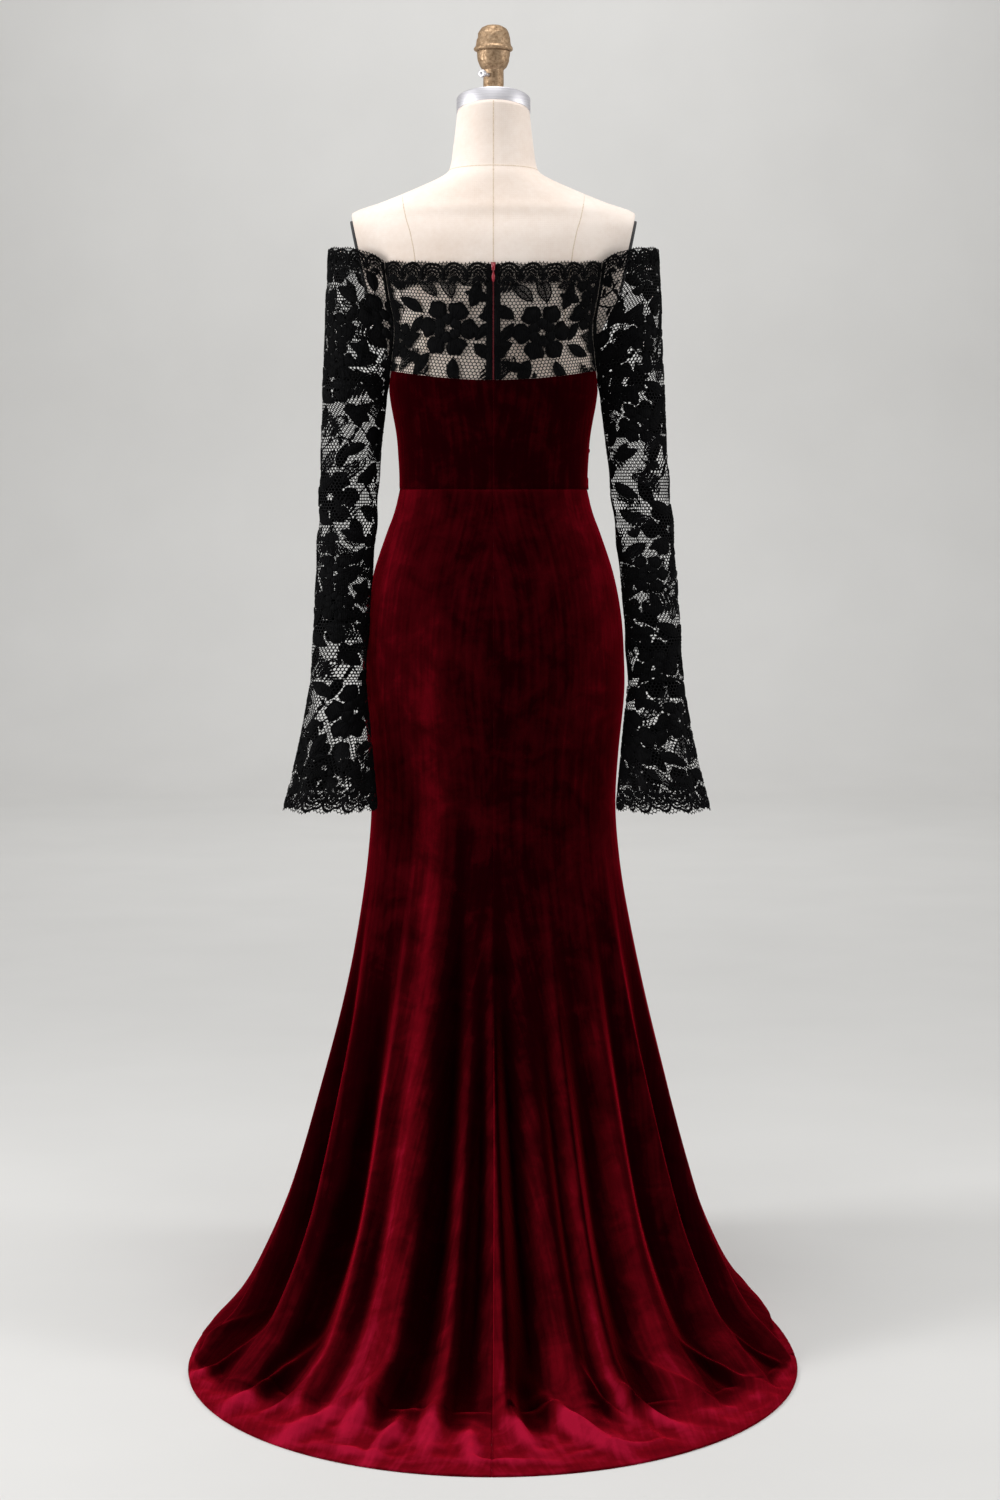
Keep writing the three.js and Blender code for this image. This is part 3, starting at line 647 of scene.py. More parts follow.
@dataclass
class SleevePanel(Surface):
    """A sleeve in one panel: round the arm to the armpit, then open along the armhole seams.

    hand is 1 for the wearer's right and -1 for the left, which hangs closer.
    """

    hand: int
    arm_share: float = 0.66
    lace_rows: float = 5.0
    velvet_rows: float = 2.0
    head_rise: float = 19.0
    head_full: float = 0.5

    def seam(self, neck: Edge, middle: float, step: Array) -> Array:
        """Gives points along the armhole seam, first along the bodice and then along the yoke."""
        from_side = np.minimum(step, self.velvet_rows) * ARMHOLE_LOW / self.velvet_rows
        low = level_point(BODY, math.copysign(1.0, middle) * from_side, armhole_height(from_side))
        share = np.clip((step - self.velvet_rows) / self.lace_rows, 0.0, 1.0)
        high = YokePanel(neck, middle).side(np.zeros_like(step), share)
        return np.where((step < self.velvet_rows)[:, None], low, high)

    def place(self, u: Array, v: Array) -> Array:
        """Gives the points at u and v."""
        round_arm = 2 * u - 1
        below = v < self.arm_share
        low_z = lerp(WRIST_Z, ARMPIT_Z, np.clip(v / self.arm_share, 0, 1))
        share = np.clip((v - self.arm_share) / (1 - self.arm_share), 0, 1)
        steps = self.velvet_rows + self.lace_rows
        back = self.seam(BACK_NECK, BACK, share * steps)
        front = self.seam(FRONT_NECK, -BACK, share * steps)
        rise = self.head_rise * smoothstep(0.0, self.head_full, share)
        high_z = lerp(back[:, 2], front[:, 2], u) + (1 - round_arm**4) * rise
        z = np.where(below, low_z, high_z)
        half = np.where(below, 0.0, (front[:, 1] - back[:, 1]) / 2)
        middle = np.where(below, ARM.at("mid", z), (front[:, 1] + back[:, 1]) / 2)
        edge = np.where(below, ARM.at("inner", z), lerp(back[:, 0], front[:, 0], u) + 0.6)
        depth = np.maximum(ARM.at("round", z), half * 1.04)
        opening = math.pi - np.arcsin(np.clip(half / depth, 0, 1))
        outer = ARM.at("outer", z)
        centre = (edge - outer * np.cos(opening)) / (1 - np.cos(opening))
        lean = self.hand * SLEEVE_LEAN * (1 - smoothstep(900.0, ARMPIT_Z - 10.0, z))
        angle = round_arm * opening
        wrinkle = self.wrinkles(angle, z)
        x = centre + (outer - centre + wrinkle) * np.cos(angle) + lean
        y = middle + (depth + wrinkle) * np.sin(angle)
        return np.stack([x, y, z], axis=-1)

    def wrinkles(self, angle: Array, z: Array) -> Array:
        """Gives the soft rings where the sleeve bends at the elbow and gathers above the wrist."""
        elbow = np.exp(-(((z - 1045.0) / 70.0) ** 2))
        wrist = np.exp(-(((z - 870.0) / 45.0) ** 2))
        phase = z / 11.0 + 2.2 * np.sin(angle + self.hand)
        return (1.5 * elbow + 1.0 * wrist) * np.sin(phase) * (0.6 + 0.4 * np.cos(angle * 2 + 1.0))


@dataclass
class CuffPanel(Surface):
    """A bell cuff: a flounce round the wrist that falls in waves to a scalloped edge."""

    hand: int
    waves: int = 6
    scallop: float = 5.0
    scallops: int = 13

    def place(self, u: Array, v: Array) -> Array:
        """Gives the points at u and v."""
        angle = (2 * u - 1) * math.pi
        low = CUFF[0].z + self.scallop * (1 - np.abs(np.cos(self.scallops * angle / 2)) ** 0.7)
        z = lerp(low, WRIST_Z, v)
        wave = BELL.at("wave", z) * np.cos(self.waves * angle + 0.5 * np.sin(angle))
        half = (BELL.at("outer", z) - BELL.at("inner", z)) / 2 + wave
        centre = (BELL.at("outer", z) + BELL.at("inner", z)) / 2 + self.hand * SLEEVE_LEAN
        depth = BELL.at("round", z) + wave
        y = BELL.at("mid", z) + depth * np.sin(angle)
        return np.stack([centre + half * np.cos(angle), y, z], axis=-1)


@dataclass
class Border(Surface):
    """A band that lies on the top of another surface, from a share of its height up."""

    under: Surface
    start: float
    lift: float
    scallops: int
    dip: float = 0.1

    def place(self, u: Array, v: Array) -> Array:
        """Gives the points at u and v."""
        dipped = self.dip * (1 - np.abs(np.sin(math.pi * self.scallops * u)) ** 0.6)
        top = 1 - (1 - self.start) * dipped
        return self.under.lifted(u, lerp(self.start, top, v), self.lift)


@dataclass
class Trimmed(Surface):
    """A surface cut back at its edges, by shares of its whole width and height."""

    whole: Surface
    left: float = 0.0
    right: float = 0.0
    bottom: float = 0.0
    top: float = 0.0

    def place(self, u: Array, v: Array) -> Array:
        """Gives the points at u and v."""
        return self.whole.place(lerp(self.left, 1 - self.right, u), lerp(self.bottom, 1 - self.top, v))


class FlatMap:
    """The flat cloth of a surface, in millimetres: s runs across from its middle, and t up it."""

    ROWS = 41
    COLUMNS = 81

    def __init__(self, surface: Surface) -> None:
        """Measures the surface.

        Args:
            surface: The surface whose cloth is laid out flat.
        """
        self.surface = surface
        u, v = np.meshgrid(np.linspace(0, 1, self.COLUMNS), np.linspace(0, 1, self.ROWS))
        points = surface.place(u.ravel(), v.ravel()).reshape(self.ROWS, self.COLUMNS, 3)
        self.v = np.linspace(0, 1, self.ROWS)
        self.widths = np.linalg.norm(np.diff(points, axis=1), axis=-1).sum(axis=1)
        rises = np.linalg.norm(np.diff(points, axis=0), axis=-1).mean(axis=1)
        self.heights = np.concatenate([[0.0], np.cumsum(rises)])
        self.height = float(self.heights[-1])
        self.width = float(self.widths.max())

    def to_share(self, s: Array, t: Array) -> tuple[Array, Array]:
        """Turns places on the flat cloth into u and v."""
        v = np.interp(t, self.heights, self.v)
        return 0.5 + s / np.interp(v, self.v, self.widths), v

    def to_flat(self, u: Array, v: Array) -> Array:
        """Turns u and v into places on the flat cloth."""
        return np.stack(
            [(u - 0.5) * np.interp(v, self.v, self.widths), np.interp(v, self.v, self.heights)], axis=-1
        )


# Finishes


def linear(hex_colour: str) -> tuple[float, float, float, float]:
    """Turns an sRGB hex colour into linear light.

    Args:
        hex_colour: The colour as six hex digits after a hash.

    Returns:
        Its red, green and blue, and an alpha of 1.
    """
    channels = [int(hex_colour[i : i + 2], 16) / 255 for i in (1, 3, 5)]
    linear_rgb = [c / 12.92 if c <= 0.04045 else ((c + 0.055) / 1.055) ** 2.4 for c in channels]
    return (*linear_rgb, 1.0)


def add_node(
    tree: Tree, kind: str, settings: dict | None = None, links: dict | None = None
) -> bpy.types.Node:
    """Adds a node to a material.

    Args:
        tree: The material's node tree.
        kind: The node's type, after the ShaderNode that starts each.
        settings: Values by name, for its properties, or for its inputs by name or number.
        links: Output sockets by the name or number of the input that each goes to.

    Returns:
        The new node.
    """
    node = tree.nodes.new("ShaderNode" + kind)
    for key, value in (settings or {}).items():
        if isinstance(key, int) or key in node.inputs:
            node.inputs[key].default_value = value
        else:
            setattr(node, key, value)
    for key, socket in (links or {}).items():
        tree.links.new(socket, node.inputs[key])
    return node


def ramp(tree: Tree, factor: Socket, stops: dict[float, tuple]) -> Socket:
    """Adds a colour ramp with its stops, and gives its colour."""
    node = add_node(tree, "ValToRGB", links={0: factor})
    elements = node.color_ramp.elements
    for spare, (position, colour) in enumerate(stops.items()):
        element = elements[spare] if spare < 2 else elements.new(position)
        element.position = position
        element.color = colour
    return node.outputs["Color"]


def new_material(name: str) -> tuple[Material, Tree]:
    """Starts a material with an empty node tree."""
    material = bpy.data.materials.new(name)
    material.use_nodes = True
    material.node_tree.nodes.clear()
    return material, material.node_tree


def close_material(tree: Tree, shader: bpy.types.Node) -> None:
    """Joins a shader to the material's output."""
    add_node(tree, "OutputMaterial", links={"Surface": shader.outputs[0]})


def bands(spacing_mm: float) -> float:
    """Gives a wave texture's scale for a spacing. At scale 1 its bands are a tenth of pi apart."""
    return math.pi / 10 / (spacing_mm * MM)


def bump_of(tree: Tree, height: Socket, depth: float, strength: float) -> Socket:
    """Adds a bump of a depth in metres, and gives its normal."""
    node = add_node(tree, "Bump", {"Distance": depth, "Strength": strength}, {"Height": height})
    return node.outputs["Normal"]


@dataclass(frozen=True)
class Velvet:
    """Stretch velvet: a dense cut pile that is near black head on, and glows crimson at a slant."""

    # Base colours from painted shade in the hollows, through the velvet's own tones, to painted
    # highlights on lit crests.
    hollow_shade: str = "#050000"
    deep: str = "#190002"
    middle: str = "#370207"
    lit: str = "#5f0510"
    crest_highlight: str = "#9c122f"
    sheen: str = "#ff1c3a"
    sheen_weight: float = 0.5
    sheen_roughness: float = 0.36
    pile_mm: float = 1.1
    crush_mm: float = 42.0
    streak_mm: Pair = (7.0, 120.0)
    streak_share: float = 0.6
    painted_light_share: float = 2.0
    tone_range: Pair = (0.8, 2.8)
    pile_share: float = 0.22
    relief_mm: float = 1.6

    def material(self) -> Material:
        """Builds the material. A pile scatters light at its tips and has no gloss of its own."""
        material, tree = new_material("burgundy stretch velvet")
        place = add_node(tree, "TexCoord").outputs["Object"]
        flat = add_node(tree, "UVMap").outputs["UV"]
        crush = add_node(
            tree,
            "TexNoise",
            {"Scale": 1000 / self.crush_mm, "Detail": 5.0, "Roughness": 0.62, "Distortion": 0.5},
            {"Vector": place},
        )
        pile = add_node(
            tree,
            "TexNoise",
            {"Scale": 1000 / self.pile_mm, "Detail": 2.0, "Roughness": 0.7},
            {"Vector": place},
        )
        across, along = self.streak_mm
        stretched = add_node(
            tree, "Mapping", {"Scale": (1000 / across, 1000 / along, 1.0)}, {"Vector": flat}
        )
        streaks = add_node(
            tree,
            "TexNoise",
            {"Scale": 1.0, "Detail": 3.0, "Roughness": 0.5},
            {"Vector": stretched.outputs[0]},
        )
        blended = add_node(
            tree,
            "Math",
            {"operation": "MULTIPLY_ADD", 1: self.streak_share},
            {0: streaks.outputs["Fac"], 2: crush.outputs["Fac"]},
        )
        # The base colour carries painted light and shade read from the pile's attribute: painted shade
        # in hollows, painted highlights on crests, slopes, sides and the train.
        painted_light = add_node(tree, "Attribute", {"attribute_name": "painted_light"}).outputs["Fac"]
        toned = add_node(
            tree,
            "Math",
            {"operation": "MULTIPLY_ADD", 1: self.painted_light_share},
            {0: painted_light, 2: blended.outputs[0]},
        )
        darkest, brightest = self.tone_range
        tone = add_node(
            tree,
            "MapRange",
            {"From Min": darkest, "From Max": brightest},
            {0: toned.outputs[0]},
        )
        stops = {0.0: self.hollow_shade, 0.34: self.deep, 0.52: self.middle, 0.72: self.lit, 1.0: self.crest_highlight}
        colour = ramp(tree, tone.outputs[0], {share: linear(tint) for share, tint in stops.items()})
        height = add_node(
            tree,
            "Math",
            {"operation": "MULTIPLY_ADD", 1: self.pile_share},
            {0: pile.outputs["Fac"], 2: blended.outputs[0]},
        )
        shader = add_node(
            tree,
            "BsdfPrincipled",
            {
                "Roughness": 0.9,
                "Specular IOR Level": 0.0,
                "Sheen Weight": self.sheen_weight,
                "Sheen Roughness": self.sheen_roughness,
                "Sheen Tint": linear(self.sheen),
            },
            {"Base Color": colour, "Normal": bump_of(tree, height.outputs[0], self.relief_mm * MM, 0.5)},
        )
        close_material(tree, shader)
        return material


@dataclass(frozen=True)
class Net:
    """Bobbin net: fine black nylon threads round open hexagons, drawn as clear gaps between them.

    The real cells are about 3.9 mm. They are drawn a little coarser, because finer ones blur to a film.
    """

    name: str = "black nylon net"
    cell_mm: float = 4.8
    thread_mm: float = 1.05
    colour: str = "#060607"

    def material(self) -> Material:
        """Builds the material, which follows the flat cloth's own map in metres."""
        material, tree = new_material(self.name)
        flat = add_node(tree, "UVMap").outputs["UV"]
        size = self.cell_mm * MM
        cell = (size, size * math.sqrt(3.0), 1.0)
        half = (cell[0] / 2, cell[1] / 2, 0.0)

        def vector(operation: str, settings: dict, links: dict) -> bpy.types.Node:
            """Adds one step of vector arithmetic."""
            return add_node(tree, "VectorMath", {"operation": operation, **settings}, links)

        def centred(source: Socket) -> Socket:
            """Gives each place's offset from the middle of its cell."""
            wrapped = vector("WRAP", {1: cell, 2: (0.0, 0.0, 0.0)}, {0: source})
            return vector("SUBTRACT", {1: half}, {0: wrapped.outputs[0]}).outputs[0]

        first = centred(flat)
        second = centred(vector("SUBTRACT", {1: half}, {0: flat}).outputs[0])
        distances = [vector("LENGTH", {}, {0: s}).outputs["Value"] for s in (first, second)]
        nearer = add_node(tree, "Math", {"operation": "LESS_THAN"}, {0: distances[0], 1: distances[1]})
        chosen = add_node(
            tree,
            "Mix",
            {"data_type": "VECTOR"},
            {0: nearer.outputs[0], 4: second, 5: first},
        ).outputs[1]
        folded = vector("ABSOLUTE", {}, {0: chosen}).outputs[0]
        slanted = vector("DOT_PRODUCT", {1: (0.5, math.sqrt(0.75), 0.0)}, {0: folded}).outputs["Value"]
        level = vector("DOT_PRODUCT", {1: (1.0, 0.0, 0.0)}, {0: folded}).outputs["Value"]
        reach = add_node(tree, "Math", {"operation": "MAXIMUM"}, {0: slanted, 1: level}).outputs[0]
        inner = (self.cell_mm - self.thread_mm) / 2 * MM
        thread = add_node(tree, "Math", {"operation": "GREATER_THAN", 1: inner}, {0: reach}).outputs[0]
        shader = add_node(
            tree,
            "BsdfPrincipled",
            {"Base Color": linear(self.colour), "Roughness": 0.7, "Specular IOR Level": 0.1},
            {"Alpha": thread},
        )
        close_material(tree, shader)
        return material


@dataclass(frozen=True)
class Cordonnet:
    """Corded lace work: close black stitches in matt thread, with a faint lustre along them.

    The real stitches are about 0.6 mm apart, and are drawn coarser to show at all.
    """

    dark: str = "#030304"
    pale: str = "#0d0d0e"
    stitch_mm: float = 2.1713
    patch_scale: float = 90.0
    relief_mm: float = 0.4

    def material(self) -> Material:
        """Builds the material."""
        material, tree = new_material("black corded lace work")
        flat = add_node(tree, "UVMap").outputs["UV"]
        stitches = add_node(
            tree,
            "TexWave",
            {"Scale": bands(self.stitch_mm), "Distortion": 3.0, "Detail": 2.0, "Detail Scale": 1.4},
            {"Vector": flat},
        )
        patches = add_node(
            tree, "TexNoise", {"Scale": self.patch_scale, "Detail": 3.0}, {"Vector": flat}
        )
        mixed = add_node(
            tree,
            "Math",
            {"operation": "MULTIPLY"},
            {0: stitches.outputs["Fac"], 1: patches.outputs["Fac"]},
        )
        colour = ramp(tree, mixed.outputs[0], {0.15: linear(self.dark), 0.65: linear(self.pale)})
        shader = add_node(
            tree,
            "BsdfPrincipled",
            {"Roughness": 0.8, "Specular IOR Level": 0.06},
            {
                "Base Color": colour,
                "Normal": bump_of(tree, stitches.outputs["Fac"], self.relief_mm * MM, 0.6),
            },
        )
        close_material(tree, shader)
        return material


@dataclass(frozen=True)
class Linen:
    """Unbleached linen over padding: a plain weave with slubs, matt and warm.

    The real threads are about 0.7 mm apart, and are drawn coarser to show at all.
    """

    pale: str = "#f6e9df"
    shade: str = "#e8d6c8"
    thread_mm: float = 2.5661
    slub_scale: float = 130.0
    soil_scale: float = 9.0
    relief_mm: float = 0.3

    def material(self) -> Material:
        """Builds the material."""
        material, tree = new_material("ivory linen")
        place = add_node(tree, "TexCoord").outputs["Object"]
        weave = []
        for axis in ("X", "Z"):
            wave = add_node(
                tree,
                "TexWave",
                {
                    "Scale": bands(self.thread_mm),
                    "Distortion": 1.2,
                    "Detail": 1.0,
                    "bands_direction": axis,
                },
                {"Vector": place},
            )
            weave.append(wave.outputs["Fac"])
        slubs = add_node(
            tree,
            "TexNoise",
            {"Scale": self.slub_scale, "Detail": 6.0, "Roughness": 0.7},
            {"Vector": place},
        )
        soil = add_node(tree, "TexNoise", {"Scale": self.soil_scale, "Detail": 3.0}, {"Vector": place})
        woven = add_node(tree, "Math", {"operation": "MULTIPLY"}, {0: weave[0], 1: weave[1]}).outputs[0]
        mixed = add_node(
            tree,
            "Math",
            {"operation": "MULTIPLY_ADD", 1: 0.45},
            {0: slubs.outputs["Fac"], 2: soil.outputs["Fac"]},
        )
        colour = ramp(tree, mixed.outputs[0], {0.45: linear(self.shade), 0.85: linear(self.pale)})
        shader = add_node(
            tree,
            "BsdfPrincipled",
            {
                "Roughness": 0.88,
                "Specular IOR Level": 0.25,
                "Sheen Weight": 0.25,
                "Sheen Roughness": 0.5,
            },
            {"Base Color": colour, "Normal": bump_of(tree, woven, self.relief_mm * MM, 0.25)},
        )
        close_material(tree, shader)
        return material


@dataclass(frozen=True)
class MetalFinish:
    """A metal: how it is coloured and how its surface was made.

    grain is the size of its surface pattern in millimetres along X, Y and Z, and relief its depth.
    """

    name: str
    bright: str
    dull: str
    grain: tuple[float, float, float]
    relief_mm: float
    roughness: Pair

    def material(self) -> Material:
        """Builds the material."""
        material, tree = new_material(self.name)
        place = add_node(tree, "TexCoord").outputs["Object"]
        scaled = add_node(
            tree, "Mapping", {"Scale": tuple(1000 / g for g in self.grain)}, {"Vector": place}
        )
        pattern = add_node(
            tree,
            "TexNoise",
            {"Scale": 1.0, "Detail": 5.0, "Roughness": 0.6},
            {"Vector": scaled.outputs[0]},
        ).outputs["Fac"]
        colour = ramp(tree, pattern, {0.3: linear(self.dull), 0.65: linear(self.bright)})
        low, high = self.roughness
        rough = add_node(
            tree,
            "MapRange",
            {"To Min": high, "To Max": low, "From Min": 0.3, "From Max": 0.7},
            {0: pattern},
        )
        shader = add_node(
            tree,
            "BsdfPrincipled",
            {"Metallic": 1.0},
            {
                "Base Color": colour,
                "Roughness": rough.outputs[0],
                "Normal": bump_of(tree, pattern, self.relief_mm * MM, 0.6),
            },
        )
        close_material(tree, shader)
        return material


@dataclass(frozen=True)
class PlainFinish:
    """A moulded or enamelled finish, with a slight mottle and a fine orange-peel surface."""

    name: str
    colour: str
    mottle: str
    roughness: float
    coat: float = 0.0
    grain_mm: float = 2.0

    def material(self) -> Material:
        """Builds the material."""
        material, tree = new_material(self.name)
        place = add_node(tree, "TexCoord").outputs["Object"]
        pattern = add_node(
            tree, "TexNoise", {"Scale": 1000 / self.grain_mm, "Detail": 4.0}, {"Vector": place}
        ).outputs["Fac"]
        colour = ramp(tree, pattern, {0.3: linear(self.colour), 0.75: linear(self.mottle)})
        shader = add_node(
            tree,
            "BsdfPrincipled",
            {"Roughness": self.roughness, "Coat Weight": self.coat, "Coat Roughness": 0.15},
            {"Base Color": colour, "Normal": bump_of(tree, pattern, 0.0001, 0.3)},
        )
        close_material(tree, shader)
        return material


@dataclass(frozen=True)
class Finishes:
    """Every material of the gown, the form and the studio, built once."""

    velvet: Material
    net: Material
    gauze: Material
    cordonnet: Material
    linen: Material
    stitching: Material
    enamel: Material
    nylon: Material
    steel: Material
    brass: Material
    iron: Material
    plastic: Material
    floor: Material

    @staticmethod
    def build() -> "Finishes":
        """Builds the materials."""
        return Finishes(
            velvet=Velvet().material(),
            net=Net().material(),
            gauze=Net("black silk gauze", 1.7, 0.62, "#08080a").material(),
            cordonnet=Cordonnet().material(),
            linen=Linen().material(),
            stitching=PlainFinish("linen seam thread", "#c9b49d", "#e6d5c2", 0.9).material(),
            enamel=PlainFinish("crimson zip enamel", "#8d0a20", "#a5122c", 0.28, 0.5, 6.0).material(),
            nylon=PlainFinish("crimson nylon coil", "#7c0a1c", "#98132b", 0.45).material(),
            steel=MetalFinish(
                "brushed steel", "#f0eef2", "#cbc9cf", (60.0, 60.0, 0.8), 0.05, (0.42, 0.6)
            ).material(),
            brass=MetalFinish(
                "aged cast brass", "#c2a688", "#8c7358", (4.0, 4.0, 4.0), 0.4, (0.5, 0.75)
            ).material(),
            iron=MetalFinish(
                "black cast iron", "#34353a", "#1b1c1f", (3.0, 3.0, 3.0), 0.2, (0.45, 0.65)
            ).material(),
            plastic=PlainFinish("dark grey moulded plastic", "#2e2f32", "#3d3e42", 0.55).material(),
            floor=PlainFinish("pale studio floor", "#dcdbd9", "#e0dfdd", 0.7, 0.0, 400.0).material(),
        )


# Making pieces


def grid(columns: int, rows: int) -> tuple[Solid, Array, Array]:
    """Starts a mesh from a grid.

    Args:
        columns: How many faces it has across.
        rows: How many it has up.

    Returns:
        The mesh, and u and v at each of its vertices.
    """
    bm = bmesh.new()
    bmesh.ops.create_grid(bm, x_segments=columns, y_segments=rows, size=0.5)
    flat = np.array([vertex.co for vertex in bm.verts])
    return bm, flat[:, 0] + 0.5, flat[:, 1] + 0.5


def move_to(bm: Solid, points: Array) -> None:
    """Moves the vertices of a mesh to points in millimetres."""
    for vertex, point in zip(bm.verts, points * MM, strict=True):
        vertex.co = point


def stamp(bm: Solid, drawn: bpy.types.Mesh, at: Matrix) -> None:
    """Adds a copy of a small drawn mesh to a large one, moved by a matrix."""
    copy = drawn.copy()
    copy.transform(at)
    bm.from_mesh(copy)
    bpy.data.meshes.remove(copy)


def drawn_mesh(bm: Solid, name: str) -> bpy.types.Mesh:
    """Keeps a small mesh for stamping, and frees its bmesh."""
    mesh = bpy.data.meshes.new(name)
    bm.to_mesh(mesh)
    bm.free()
    return mesh


def map_cloth(bm: Solid, flat: Array) -> None:
    """Writes the flat cloth's map, in metres, from places in millimetres at each vertex."""
    layer = bm.loops.layers.uv.new("cloth")
    bm.verts.index_update()
    for face in bm.faces:
        for loop in face.loops:
            loop[layer].uv = flat[loop.vert.index] * MM


def make_piece(
    bm: Solid,
    name: str,
    materials: list[Material],
    slot: str,
    body: str = "root",
    *nodes: str,
) -> bpy.types.Object:
    """Turns a mesh into a piece of the gown or the form.

    Args:
        bm: The mesh, which is freed.
        name: The piece's name.
        materials: Its materials, in the order of its faces' numbers.
        slot: The record's material slot. It is not used.
        body: The body that it rides on.
        *nodes: The solids that it stands for.

    Returns:
        The piece.
    """
    mesh = bpy.data.meshes.new(name)
    bm.to_mesh(mesh)
    bm.free()
    piece = bpy.data.objects.new(name, mesh)
    bpy.context.scene.collection.objects.link(piece)
    for material in materials:
        mesh.materials.append(material)
    mesh.shade_smooth()
    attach(piece, body)
    if nodes:
        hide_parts(*nodes)
    LOG.info("%s: %d faces", name, len(mesh.polygons))
    return piece


def thicken(piece: bpy.types.Object, thickness: float, offset: float = -1.0) -> None:
    """Gives a sheet its thickness, in millimetres, on the inner side unless offset says otherwise."""
    wall = piece.modifiers.new("Cloth thickness", "SOLIDIFY")
    wall.thickness = thickness * MM
    wall.offset = offset


# Velvet pieces


@dataclass
class VelvetPieces:
    """The velvet bodice and the skirt with its train."""

    finishes: Finishes
    seam: float = 0.02
    roll: float = 1.0
    roll_width: float = 3.2

    def panel(self, name: str, surface: Surface, columns: int, rows: int, cut: Pair) -> bpy.types.Object:
        """Builds one panel, with its edges rolled in along the seams.

        Args:
            name: The name of the solid that it stands for.
            surface: The surface that it follows.
            columns: Its faces across.
            rows: Its faces up.
            cut: The width and length of cloth that it was cut from, in metres. It is not used.

        Returns:
            The panel.
        """
        bm, u, v = grid(columns, rows)
        laid = FlatMap(surface)
        width = np.interp(v, laid.v, laid.widths)
        u = lerp(self.seam / width, 1 - self.seam / width, u)
        flat = laid.to_flat(u, v)
        edge = np.minimum(u, 1 - u) * width
        waist_side = np.where(flat[:, 1] > laid.height / 2, laid.height - flat[:, 1], 1e3)
        waist_side = np.minimum(waist_side, flat[:, 1]) if "bodice" in name else waist_side
        away = np.minimum(edge, waist_side)
        lift = -self.roll * np.exp(-((away / self.roll_width) ** 2))
        move_to(bm, surface.lifted(u, v, lift))
        map_cloth(bm, flat)
        # The pile's painted light and shade, which the velvet's colour reads.
        painted_light = bm.verts.layers.float.new("painted_light")
        for vertex, value in zip(bm.verts, surface.painted_light(u, v), strict=True):
            vertex[painted_light] = value
        piece = make_piece(bm, name + "_velvet", [self.finishes.velvet], "velvet", "root", name)
        thicken(piece, VELVET_THICK)
        return piece

    def build(self) -> None:
        """Builds the bodice and the skirt."""
        spans = (("back_left", -math.pi, BACK), ("back_right", BACK, 0.0), ("front", 0.0, math.pi))
        for part, start, end in spans:
            columns, width = (120, 0.38) if part == "front" else (70, 0.20)
            self.panel("bodice_" + part, BodicePanel(start, end), columns, 46, (width, 0.18))
        for part, start, end in spans:
            columns, cut = (190, (1.05, 1.25)) if part == "front" else (210, (0.62, 1.55))
            self.panel("skirt_" + part, SkirtPanel(start, end), columns, 220, cut)


# Lace


class Motif(Enum):
    """The kinds of flower work in the lace."""

    ROSE = "rose"
    BUD = "bud"
    LEAF = "leaf"
    GAUZE_LEAF = "gauze leaf"
    FERN = "fern"
    SCROLL = "scroll"
    FAN = "fan"
    STEM = "stem"


@dataclass(frozen=True)
class Sprig:
    """One motif of the repeat: its kind, place and size in millimetres, and heading in degrees."""

    kind: Motif
    x: float
    y: float
    size: float
    heading: float = 0.0


def arc(radius: float, start: float, end: float, count: int, middle: Pair = (0.0, 0.0)) -> Path:
    """Gives points along an arc about its middle, between two angles."""
    x, y = middle
    return [(x + radius * math.cos(a), y + radius * math.sin(a)) for a in np.linspace(start, end, count)]


